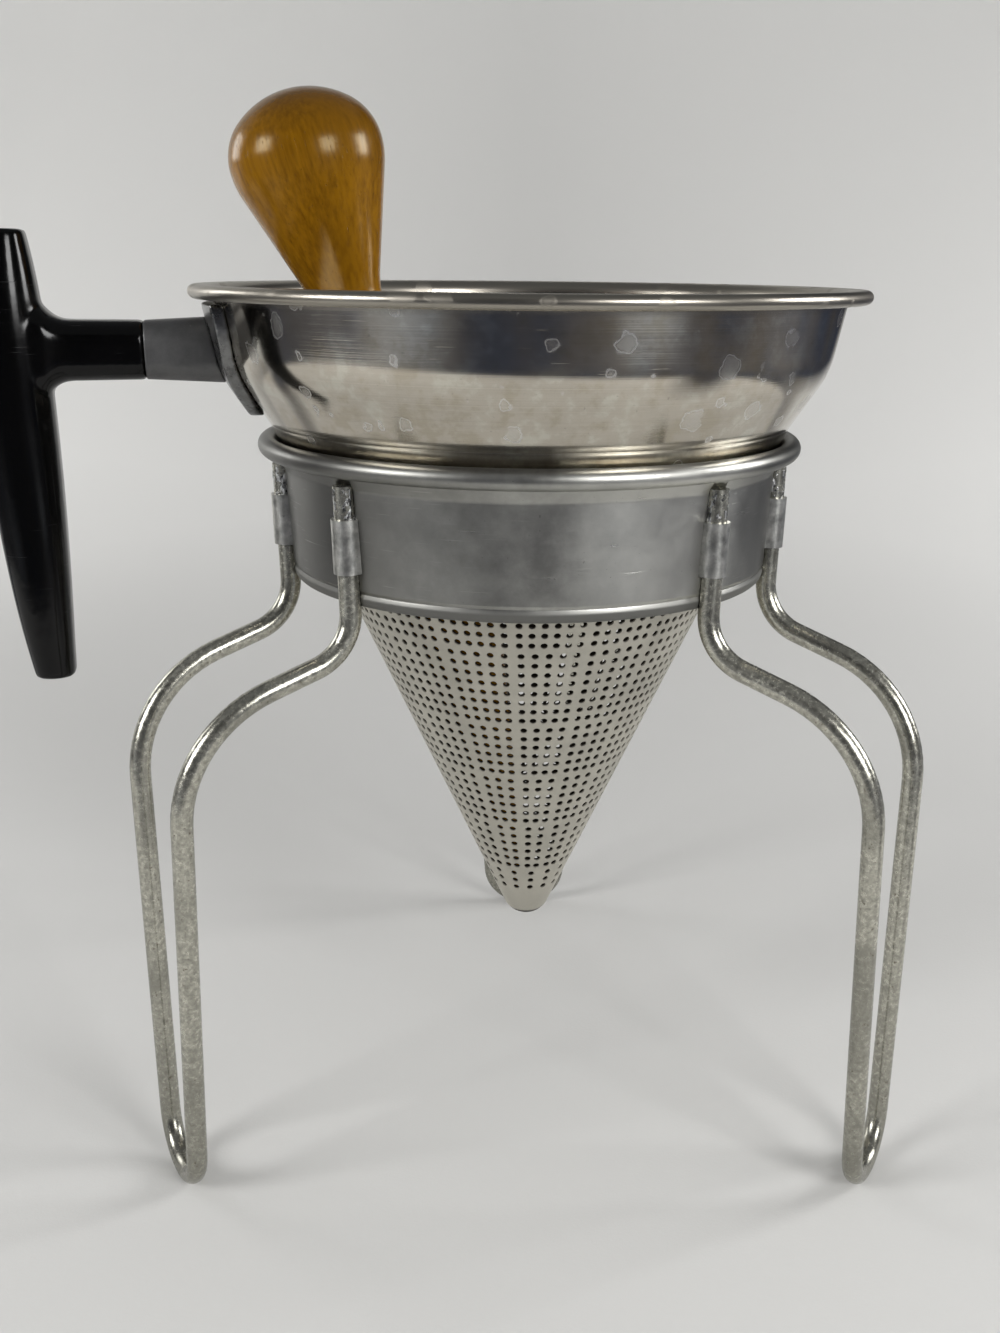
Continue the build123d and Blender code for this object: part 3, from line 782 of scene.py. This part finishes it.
def hole_group(bm, s, holes, rows, low, high):
    """Ring of the sieve wall with rows of round holes, the same number in each panel."""
    columns = s.panels * holes * 2
    grid = bmesh.ops.create_grid(bm, x_segments=columns, y_segments=rows * 2, size=1.0)["verts"]
    panel = 2 * pi / s.panels
    centres = []
    for vert in grid:
        column = round((vert.co.x + 1) / 2 * columns)
        row = round((vert.co.y + 1) / 2 * rows * 2)
        home, step = divmod(column, holes * 2)
        offset = (step / (holes * 2) - 0.5) * panel
        if step:
            offset *= holes / (holes + WIDE_GAP)
        turn = s.first_gap + (home + 0.5) * panel + offset
        slant = low + (high - low) * row / (rows * 2)
        vert.co = cone_point(s, turn, slant)
        if column % 2 and row % 2:
            centres.append((vert, turn, slant))
    return centres


def open_holes(bm, s, centres):
    """Opens a round hole at each centre vertex of the grid."""
    places = [(turn, slant) for _, turn, slant in centres]
    tree = kd_tree([vert.co for vert, _, _ in centres])
    made = bmesh.ops.bevel(bm, geom=[vert for vert, _, _ in centres], offset=s.hole_radius,
                           offset_type="OFFSET", segments=3, profile=0.5, affect="VERTICES",
                           material=-1, clamp_overlap=True)
    bmesh.ops.delete(bm, geom=made["faces"], context="FACES")
    for vert in (item for item in made["verts"] if item.is_valid):
        turn, slant = places[tree.find(vert.co)[1]]
        across = Vector((-sin(turn), cos(turn), 0))
        up = (cone_point(s, turn, slant + MM) - cone_point(s, turn, slant)).normalized()
        spoke = vert.co - cone_point(s, turn, slant)
        side = round(atan2(spoke.dot(up), spoke.dot(across)) / (2 * pi / HOLE_SIDES))
        way = side * 2 * pi / HOLE_SIDES
        radius = slant * sin(s.cone_angle)
        vert.co = cone_point(s, turn + s.hole_radius * cos(way) / radius,
                             slant + s.hole_radius * sin(way))


def kd_tree(points):
    """Search tree of points."""
    tree = KDTree(len(points))
    for index, point in enumerate(points):
        tree.insert(point, index)
    tree.balance()
    return tree


def raise_edge(bm, height, line):
    """Extrudes the ring of edges at a height along a line of radius and height."""
    ring = [edge for edge in bm.edges
            if all(abs(vert.co.z - height) < CLOSE for vert in edge.verts)]
    for point in line:
        made = bmesh.ops.extrude_edge_only(bm, edges=ring)["geom"]
        ring = [item for item in made if isinstance(item, bmesh.types.BMEdge)]
        for vert in {vert for edge in ring for vert in edge.verts}:
            across = vert.co.xy.normalized() * point[0]
            vert.co = (across.x, across.y, point[1])


class RICER_OT_sieve(bpy.types.Operator):
    """Perforated sieve cone with a round closed tip and a collar"""
    bl_idname = "ricer.sieve"
    bl_label = "Sieve"

    def execute(self, context):
        s = context.scene.ricer_strainer
        bm = bmesh.new()
        join = 0.05  # share of a row left open between two groups, bridged afterwards
        row = 0
        centres = []
        lows = []
        highs = []
        for holes, rows in enumerate(ROWS_PER_GROUP, 1):
            low = s.first_row + (row - 0.5 + join) * s.row_pitch
            high = s.first_row + (row + rows - 0.5 - join) * s.row_pitch
            centres += hole_group(bm, s, holes, rows, low, high)
            lows.append(low)
            highs.append(high)
            row += rows
        bmesh.ops.remove_doubles(bm, verts=bm.verts, dist=CLOSE)
        centres = [entry for entry in centres if entry[0].is_valid]
        open_holes(bm, s, centres)
        for high, low in zip(highs, lows[1:]):
            heights = [s.cone_apex + slant * cos(s.cone_angle) for slant in (high, low)]
            edges = [edge for edge in bm.edges
                     if abs(edge.verts[0].co.z - edge.verts[1].co.z) < LEVEL
                     and min(abs(edge.verts[0].co.z - height) for height in heights) < CLOSE]
            bmesh.ops.bridge_loops(bm, edges=edges)
        half = s.cone_angle
        centre = s.cone_apex + s.tip_radius / sin(half)
        start = cone_point(s, 0, lows[0])
        tip = arc((0, centre), s.tip_radius, -pi / 2, -half, 12)
        wrap_line(bm, [Vector((start.x, start.z))] + tip[::-1],
                  even_turns(s.panels * 2, s.first_gap))
        collar = CONE_HIGH.x
        bend = s.cone_apex + collar / tan(half)
        top = cone_point(s, 0, highs[-1])
        upper = rounded_line([(top.x, top.z), (collar, bend), (collar, CONE_HIGH.z)], [2.0 * MM], 5)
        raise_edge(bm, top.z, refine_line(upper, 1.5 * MM)[1:])
        bmesh.ops.recalc_face_normals(bm, faces=bm.faces)
        bmesh.ops.solidify(bm, geom=bm.faces[:], thickness=s.cone_sheet)
        make_piece("sieve", bm, material_named("dull_aluminium"), "strainer",
                   ("sieve_cone",), recalculate=False)
        return {"FINISHED"}


# ------------------------------------------------------------------ stand

LEGS = (("front_left", 210.0), ("front_right", -30.0), ("back", 90.0))


def wire_line(s):
    """Centre line of a leg wire in leg axes: radial X, tangential Y."""
    side = [
        (s.ring_reach, s.half_spacing, s.wire_top),
        (s.knee_reach, s.half_spacing, s.knee_height),
        (s.shoulder_reach, s.shoulder_spacing, s.shoulder_height),
        (s.foot_reach, s.foot_spacing, s.wire / 2),
    ]
    other = [(x, -y, z) for x, y, z in reversed(side)]
    bends = [s.knee_bend, s.shoulder_bend, s.foot_bend]
    return rounded_line(side + other, bends + bends[::-1], 14)


def loop_places(s):
    """Place and facing of each wire loop: a matrix with X outwards and Z along the wire."""
    drop = s.wire_top - s.knee_height
    tilt = atan2(s.ring_reach - s.knee_reach, drop)
    middle = (s.loop_top + s.loop_bottom) / 2
    reach = s.ring_reach - (s.wire_top - middle) * (s.ring_reach - s.knee_reach) / drop
    for _, azimuth in LEGS:
        for side in (1, -1):
            facing = atan2(side * s.half_spacing, reach)
            yield (Matrix.Rotation(radians(azimuth) + s.turn, 4, "Z")
                   @ Matrix.Translation((reach, side * s.half_spacing, middle))
                   @ Matrix.Rotation(tilt, 4, "Y") @ Matrix.Rotation(facing, 4, "Z"))


class RICER_OT_band(bpy.types.Operator):
    """Stand band with a rolled top edge, pressed in behind the wires"""
    bl_idname = "ricer.band"
    bl_label = "Band"

    def execute(self, context):
        s = context.scene.ricer_stand
        roll_height = s.ring_top - s.roll
        roll_reach = s.ring_radius - s.roll
        corners = [
            (s.lip_radius, s.band_bottom + 0.05 * MM),
            (s.crease_radius - 0.6 * MM, s.band_bottom + 0.05 * MM),
            (s.crease_radius, s.crease - 1.2 * MM),
            (s.crease_radius - 0.35 * MM, s.crease),
            (s.crease_radius, s.crease + 0.8 * MM),
            (s.band_radius, roll_height - 2.3 * s.roll),
            (roll_reach - s.roll * 0.75, roll_height - s.roll * 0.6),
        ]
        bends = [1.3 * MM, 1.0 * MM, 0.3 * MM, 0.5 * MM, 3.0 * MM]
        outside = rounded_line(corners, bends, 6)
        inside = offset_line(outside, s.sheet)
        roll = arc((roll_reach, roll_height), s.roll, radians(218), radians(-100), 30)
        outer = refine_line(outside, 1.2 * MM)
        bm = bmesh.new()
        wrap_line(bm, outer + roll + inside[::-1], self.turns(s), closed=True)
        self.press(bm, s)
        make_piece("band", bm, material_named("satin_aluminium"), "stand", ("stand_ring",))
        return {"FINISHED"}

    def press(self, bm, s):
        """Presses the sheet in behind each wire, as a groove that fades out above its end."""
        wire_axes = [place.inverted() for place in loop_places(s)]
        groove = s.wire / 2 + 0.12 * MM
        top = s.wire_top + 1.2 * MM
        fade_run = 1.5 * MM
        far_side = 20 * MM  # further in than this is the wall across the ring
        inner = s.crease_radius - 3.5 * MM
        for vert in bm.verts:
            if vert.co.z > top + 2 * MM or vert.co.xy.length < inner:
                continue
            for axes in wire_axes:
                local = axes @ vert.co
                if local.x < -far_side or abs(local.y) >= groove:
                    continue
                depth = -sqrt(groove * groove - local.y * local.y)
                fade = min(1.0, max(0.0, (top - vert.co.z) / fade_run))
                goal = min(0.0, depth - local.x) * fade
                if goal < 0:
                    local.x += goal
                    vert.co = axes.inverted() @ local

    def turns(self, s):
        """Turns round the band, closer together across the wires."""
        near = [atan2(place.translation.y, place.translation.x) for place in loop_places(s)]
        fine, coarse = radians(0.35), radians(2)
        turns = []
        turn = -pi
        while turn < pi:
            turns.append(turn)
            gap = min(abs((turn - wire + pi) % (2 * pi) - pi) for wire in near)
            turn += fine if gap < radians(4) else coarse
        return turns


class RICER_OT_loops(bpy.types.Operator):
    """Six loops pushed out of the band round the wire ends"""
    bl_idname = "ricer.loops"
    bl_label = "Wire loops"

    def execute(self, context):
        s = context.scene.ricer_stand
        radius = s.wire / 2 + 0.05 * MM + s.loop_sheet
        height = s.loop_top - s.loop_bottom
        foot = 1.5 * MM  # how far the loop's sides reach back into the band
        bend = radius + 0.2 * MM
        flange = radius + 1.1 * MM
        section = [(-foot * 1.2, -flange), (-foot, -bend)]
        section += [tuple(point) for point in arc((0, 0), radius, -pi / 2, pi / 2, 16)]
        section += [(-foot, bend), (-foot * 1.2, flange)]
        bm = bmesh.new()
        for place in loop_places(s):
            verts = [bm.verts.new(place @ Vector((x, y, -height / 2))) for x, y in section]
            edges = [bm.edges.new(pair) for pair in zip(verts, verts[1:])]
            up = place.to_3x3() @ Vector((0, 0, height))
            made = bmesh.ops.extrude_edge_only(bm, edges=edges)["geom"]
            raised = [item for item in made if isinstance(item, bmesh.types.BMVert)]
            bmesh.ops.translate(bm, verts=raised, vec=up)
        bmesh.ops.recalc_face_normals(bm, faces=bm.faces)
        for face in bm.faces:
            outward = face.calc_center_median()
            outward.z = 0
            if face.normal.dot(outward) < 0:
                face.normal_flip()
        bmesh.ops.solidify(bm, geom=bm.faces[:], thickness=s.loop_sheet)
        make_piece("wire_loops", bm, material_named("worn_sheet"), "stand",
                   ("stand_ring",), recalculate=False)
        return {"FINISHED"}


class RICER_OT_legs(bpy.types.Operator):
    """Three hairpin wire legs"""
    bl_idname = "ricer.legs"
    bl_label = "Legs"

    def execute(self, context):
        s = context.scene.ricer_stand
        line = refine_line(wire_line(s), 4 * MM)
        for name, azimuth in LEGS:
            turn = Matrix.Rotation(radians(azimuth) + s.turn, 3, "Z")
            curve = bpy.data.curves.new("wire", "CURVE")
            curve.dimensions = "3D"
            curve.bevel_depth = s.wire / 2
            curve.bevel_resolution = 8
            curve.use_fill_caps = True
            spline = curve.splines.new("POLY")
            spline.points.add(len(line) - 1)
            for point, place in zip(spline.points, line):
                point.co = (*(turn @ place), 1.0)
            helper = bpy.data.objects.new("wire", curve)
            bpy.context.scene.collection.objects.link(helper)
            mesh = bpy.data.meshes.new_from_object(helper)
            bm = bmesh.new()
            bm.from_mesh(mesh)
            bmesh.ops.remove_doubles(bm, verts=bm.verts, dist=CLOSE)
            for vert in bm.verts:
                vert.co.z = max(vert.co.z, 0.0)
            bpy.data.objects.remove(helper)
            bpy.data.curves.remove(curve)
            bpy.data.meshes.remove(mesh)
            make_piece("wire_" + name, bm, material_named("tinned_wire"), "stand",
                       ("leg_" + name,))
        return {"FINISHED"}


ALONG_RIDGE = 260  # noise steps per metre along a wire's end
ACROSS_RIDGE = 900  # the same across it
CHIPS = 1500  # the same for small chips
APART = 300  # sets the ends of different wires apart in the noise


class RICER_OT_wire_ends(bpy.types.Operator):
    """Pinched bright ends of the wires above the loops"""
    bl_idname = "ricer.wire_ends"
    bl_label = "Wire ends"

    def execute(self, context):
        s = context.scene.ricer_stand
        height = s.wire_top - s.loop_top + 1.4 * MM
        middle = s.wire_top - height / 2 - (s.loop_top + s.loop_bottom) / 2
        radius = s.wire / 2
        side = [(radius, height * (step / 16 - 0.5)) for step in range(17)]
        outline = [(0, -height / 2)] + side + [(radius * 0.6, height / 2), (0, height / 2)]
        bm = bmesh.new()
        for place in loop_places(s):
            before = set(bm.verts)
            wrap_line(bm, outline, even_turns(36))
            for vert in set(bm.verts) - before:
                local = vert.co.copy()
                along = local.z * ALONG_RIDGE + place.translation.x * APART
                ridge = noise.noise(Vector((local.x * ACROSS_RIDGE, local.y * ACROSS_RIDGE, along)))
                chip = noise.noise(local * CHIPS)
                if local.xy.length > radius / 4:
                    local.xy *= 0.98 + 0.075 * ridge + 0.05 * chip
                if local.z > height / 2 - 0.5 * MM:
                    local.z -= 0.9 * MM * (0.5 + ridge)
                vert.co = place @ (local + Vector((0, 0, middle)))
        make_piece("wire_ends", bm, material_named("bright_tin"), "stand")
        return {"FINISHED"}


# ------------------------------------------------------------------ handle

# Piece, solid, remeshing step, smoothing rounds, finish and slot of each handle part.
HANDLE_PARTS = (
    ("bracket", "handle_bracket", 0.35 * MM, 12, "cast_aluminium", "bracket"),
    ("socket", "handle_ferrule", 0.3 * MM, 3, "dull_casting", "ferrule"),
    ("grip", "handle_grip", 0.6 * MM, 6, "black_moulding", "grip"),
)


class RICER_OT_handle(bpy.types.Operator):
    """Cast bracket, socket, moulded grip and fixings"""
    bl_idname = "ricer.handle"
    bl_label = "Handle"

    def execute(self, context):
        for name, node, voxel, rounds, finish, slot in HANDLE_PARTS:
            softened_copy(name, node, voxel, rounds, material_named(finish), "strainer")
        fixings = ["handle_screw", "handle_lock_washer"]
        fixings += [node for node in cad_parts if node.startswith("bracket_rivet")]
        for node in fixings:
            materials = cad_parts[node].data.materials
            materials.clear()
            materials.append(material_named("steel_fixing"))
        return {"FINISHED"}


# ------------------------------------------------------------------ pestle

class RICER_OT_pestle(bpy.types.Operator):
    """Turned pestle with a pear-shaped knob"""
    bl_idname = "ricer.pestle"
    bl_label = "Pestle"

    def execute(self, context):
        s = context.scene.ricer_pestle
        cone = context.scene.ricer_strainer.cone_angle
        slope = cone - s.lean
        tip_centre = s.tip_radius / sin(slope)
        knob_edge = Vector((s.knob_radius * cos(s.flank), s.knob - s.knob_radius * sin(s.flank)))
        neck = (knob_edge.x - (knob_edge.y - s.neck) * tan(s.flank), s.neck)
        belly = (s.belly * tan(slope), s.belly)
        tip_edge = (s.tip_radius * cos(slope), tip_centre - s.tip_radius * sin(slope))
        line = arc((0, tip_centre), s.tip_radius, -pi / 2, -slope, 10)[:-1]
        line += rounded_line([tip_edge, belly, neck, knob_edge], [16 * MM, 24 * MM], 16)[:-1]
        inset = s.knob_radius - s.shoulder
        dome = (inset**2 + s.crown**2 - s.shoulder**2) / (2 * (s.crown - s.shoulder))
        away = atan2(inset, dome - s.crown)
        line += arc((0, s.knob), s.knob_radius, -s.flank, 0, 8)[:-1]
        line += arc((inset, s.knob), s.shoulder, 0, pi / 2 - away, 12)[:-1]
        line += arc((0, s.knob + s.crown - dome), dome, pi / 2 - away, pi / 2, 12)
        bm = bmesh.new()
        wrap_line(bm, refine_line(line, 2 * MM), even_turns(128))
        reach = s.apex_reach - s.gap / cos(cone)
        place = (Matrix.Rotation(pi, 4, "Z") @ Matrix.Translation((reach, 0, s.apex_height))
                 @ Matrix.Rotation(s.lean, 4, "Y"))
        bmesh.ops.transform(bm, matrix=place, verts=bm.verts)
        make_piece("pestle_body", bm, material_named("varnished_wood"), "pestle",
                   ("pestle",))
        return {"FINISHED"}


# ------------------------------------------------------------------ stage

# Ovals on the floor: centre, half sizes, turn in degrees and softness of the edge. They shape
# painted reflections seen only by glossy rays, and a painted shadow behind the object.
OVALS = {
    "table": ((-0.1, 0.0), (0.58, 0.42), 0.0, 0.05),
    "wedge": ((0.53, -0.25), (0.27, 0.09), -24.0, 0.35),
    "strip": ((-0.6, 0.17), (0.34, 0.05), -4.0, 0.35),
    "painted_shadow_behind_object": ((0.0, 0.2), (0.3, 0.35), 0.0, 0.9),
    "right_glow": ((0.46, -0.55), (0.14, 0.1), 30.0, 0.5),
    "left_glow": ((-0.46, -0.5), (0.16, 0.1), -30.0, 0.6),
}
# Colours of the painted reflection of the unlit room.
REFLECTED_ROOM_BLUE = (0.018, 0.027, 0.055, 1)
REFLECTED_ROOM_GREY = (0.06, 0.055, 0.055, 1)


def oval(t, where, name):
    """Soft-edged oval on the floor: 1 inside, 0 outside."""
    centre, size, turn, soft = OVALS[name]
    moved = t.add("ShaderNodeMapping", vector_type="TEXTURE", values={"Vector": where,
                  "Location": (*centre, 0), "Rotation": (0, 0, radians(turn)),
                  "Scale": (*size, 1e6)}).outputs["Vector"]
    away = t.add("ShaderNodeVectorMath", operation="LENGTH", values={0: moved})
    return t.ramp(away.outputs["Value"], 1.0 + soft, 1.0 - soft)


def sweep_material(paper):
    """Pale paper, paler up the backdrop and at its far sides (painted light), with a painted shadow
    behind the object; mirror-like surfaces see a painted reflection of the unlit room beyond it and
    of dark things on it, and two painted glows.
    """
    material, t, shader, where = finish_material("pale_paper")
    x, y, z = t.split(where)
    # Painted reflection: outside the table oval and the pale area behind, and over the wedge and
    # strip, glossy rays see an unlit room.
    behind = t.math("MULTIPLY", t.ramp(y, 0.12, 0.5), t.ramp(x, 0.6, 0.4))
    dark = t.math("SUBTRACT", 1.0, t.math("MAXIMUM", oval(t, where, "table"), behind))
    reflected_things = t.math("MAXIMUM", oval(t, where, "wedge"), oval(t, where, "strip"))
    dark = t.math("MAXIMUM", dark, reflected_things)
    clouds = t.noise(where, 4.5, 2.0)
    grain = t.noise(where, 900.0, 3.0, 0.6)
    pale = t.mix(grain, shade(paper, 0.985), shade(paper, 1.015))
    # Painted light: the backdrop grows paler with height, and paler still towards the back at its
    # left and right.
    pale = t.mix(t.ramp(z, 0.0, 0.8), pale, shade(paper, 1.3))
    side = t.math("MULTIPLY", t.ramp(t.math("ABSOLUTE", x), 0.02, 0.6), t.ramp(y, 0.3, 0.9))
    pale = t.mix(side, pale, shade(paper, 1.42))
    # Painted shadow on the paper behind and under the object.
    pale = t.mix(oval(t, where, "painted_shadow_behind_object"), pale, shade(paper, 0.77))
    reflected_room = t.mix(t.ramp(clouds, 0.35, 0.65), REFLECTED_ROOM_BLUE, REFLECTED_ROOM_GREY)
    glossy = t.add("ShaderNodeLightPath").outputs["Is Glossy Ray"]
    # Glossy rays get the painted reflection, every other ray gets the pale paper.
    base = t.mix(t.math("MULTIPLY", dark, glossy), pale, reflected_room)
    # Painted reflections of two bright spots on the floor: an emission that only glossy rays see.
    glow = t.math("MAXIMUM", t.math("MULTIPLY", oval(t, where, "right_glow"), 0.55),
                  t.math("MULTIPLY", oval(t, where, "left_glow"), 0.4))
    t.put(shader, "Emission Color", (0.85, 0.92, 1.0, 1.0))
    t.put(shader, "Emission Strength", t.math("MULTIPLY", glow, glossy))
    surface(t, shader, base, 0.75, grain, 0.05 * MM)
    return material


LAMPS = (  # way from the object and share of the lamp power
    ((-0.88, 0.40, 0.25), 0.3),
    ((-0.83, -0.49, 0.32), 1.0),
    ((0.59, -0.75, 0.30), 1.0),
    ((0.96, 0.15, 0.30), 1.0),
)
LAMP_TARGET = Vector((0, 0, 0.2))
TOP_WAY = (0.0, 0.1, 1.0)
TOP_DISTANCE = 1.5
TOP_SIZE = 1.4
TOP_SHARE = 0.3
SKY_COLOUR = (0.93, 0.96, 1.0, 1.0)
SKY_STRENGTH = 0.18


class RICER_OT_stage(bpy.types.Operator):
    """Pale floor and backdrop, soft lamps and the camera"""
    bl_idname = "ricer.stage"
    bl_label = "Stage"

    def execute(self, context):
        s = context.scene.ricer_stage
        bm = bmesh.new()
        line = rounded_line([(0, 0), (s.sweep_radius, 0), (s.sweep_radius, s.sweep_height)],
                            [s.sweep_bend], 14)
        wrap_line(bm, line, even_turns(96))
        for face in bm.faces:
            face.smooth = True
        mesh = bpy.data.meshes.new("backdrop")
        bm.to_mesh(mesh)
        bm.free()
        mesh.materials.append(sweep_material(context.scene.ricer_colours.paper))
        floor = bpy.data.objects.new("backdrop", mesh)
        context.scene.collection.objects.link(floor)
        self.lamps(context, s)
        self.sky(context)
        self.camera(context, s)
        context.scene.view_settings.view_transform = "Standard"
        return {"FINISHED"}

    def lamps(self, context, s):
        """Four soft panels round the object at about the height of the knob, and a top light."""
        for index, (way, share) in enumerate(LAMPS):
            self.panel(context, "panel_%d" % index, Vector(way).normalized(), s.lamp_distance,
                       s.lamp_size, s.lamp_power * share)
        top = self.panel(context, "panel_top", Vector(TOP_WAY).normalized(), TOP_DISTANCE,
                         TOP_SIZE, s.lamp_power * TOP_SHARE)
        top.visible_glossy = False

    def panel(self, context, name, way, distance, size, power):
        """One square lamp facing the object, unseen by the camera itself."""
        data = bpy.data.lights.new(name, "AREA")
        data.energy = power
        data.size = size
        lamp = bpy.data.objects.new(name, data)
        lamp.location = LAMP_TARGET + way * distance
        lamp.rotation_euler = (-way).to_track_quat("-Z", "Y").to_euler()
        lamp.visible_camera = False
        context.scene.collection.objects.link(lamp)
        return lamp

    def sky(self, context):
        """Soft even light from the open top of the backdrop."""
        world = bpy.data.worlds.new("studio")
        world.use_nodes = True
        back = world.node_tree.nodes["Background"]
        back.inputs["Color"].default_value = SKY_COLOUR
        back.inputs["Strength"].default_value = SKY_STRENGTH
        context.scene.world = world

    def camera(self, context, s):
        """Camera at a person's eye over a table."""
        data = bpy.data.cameras.new("camera")
        data.lens = s.lens
        data.sensor_width = 36.0
        data.shift_x = s.shift_x
        data.shift_y = s.shift_y
        data.clip_start = 0.01
        eye = bpy.data.objects.new("camera", data)
        eye.matrix_world = (Matrix.Translation((0, -s.camera_distance, s.camera_height))
                            @ Matrix.Rotation(-s.camera_yaw, 4, "Z")
                            @ Matrix.Rotation(pi / 2 - s.camera_pitch, 4, "X")
                            @ Matrix.Rotation(s.camera_roll, 4, "Z"))
        context.scene.collection.objects.link(eye)
        context.scene.camera = eye


# ------------------------------------------------------------------ add-on

class RICER_PT_panel(bpy.types.Panel):
    """Builders of the ricer's pieces"""
    bl_idname = "RICER_PT_panel"
    bl_label = "Cone-Sieve Ricer"
    bl_space_type = "VIEW_3D"
    bl_region_type = "UI"
    bl_category = "Ricer"

    def draw(self, context):
        for builder in BUILDERS:
            self.layout.operator(builder.bl_idname)


SETTINGS = {
    "ricer_strainer": StrainerSizes,
    "ricer_stand": StandSizes,
    "ricer_pestle": PestleSizes,
    "ricer_colours": FinishColours,
    "ricer_stage": StageSizes,
}
BUILDERS = (
    RICER_OT_hopper,
    RICER_OT_sieve,
    RICER_OT_band,
    RICER_OT_loops,
    RICER_OT_legs,
    RICER_OT_wire_ends,
    RICER_OT_handle,
    RICER_OT_pestle,
    RICER_OT_stage,
)


def register():
    """Registers the settings, builders and panel."""
    for name, group in SETTINGS.items():
        bpy.utils.register_class(group)
        setattr(bpy.types.Scene, name, PointerProperty(type=group))
    for builder in BUILDERS:
        bpy.utils.register_class(builder)
    bpy.utils.register_class(RICER_PT_panel)


def unregister():
    """Removes what register added."""
    bpy.utils.unregister_class(RICER_PT_panel)
    for builder in reversed(BUILDERS):
        bpy.utils.unregister_class(builder)
    for name, group in SETTINGS.items():
        delattr(bpy.types.Scene, name)
        bpy.utils.unregister_class(group)


def main():
    """Builds every piece and the stage."""
    register()
    bpy.ops.ricer.hopper()
    bpy.ops.ricer.sieve()
    bpy.ops.ricer.band()
    bpy.ops.ricer.loops()
    bpy.ops.ricer.legs()
    bpy.ops.ricer.wire_ends()
    bpy.ops.ricer.handle()
    bpy.ops.ricer.pestle()
    bpy.ops.ricer.stage()


if __name__ == "__main__":
    main()
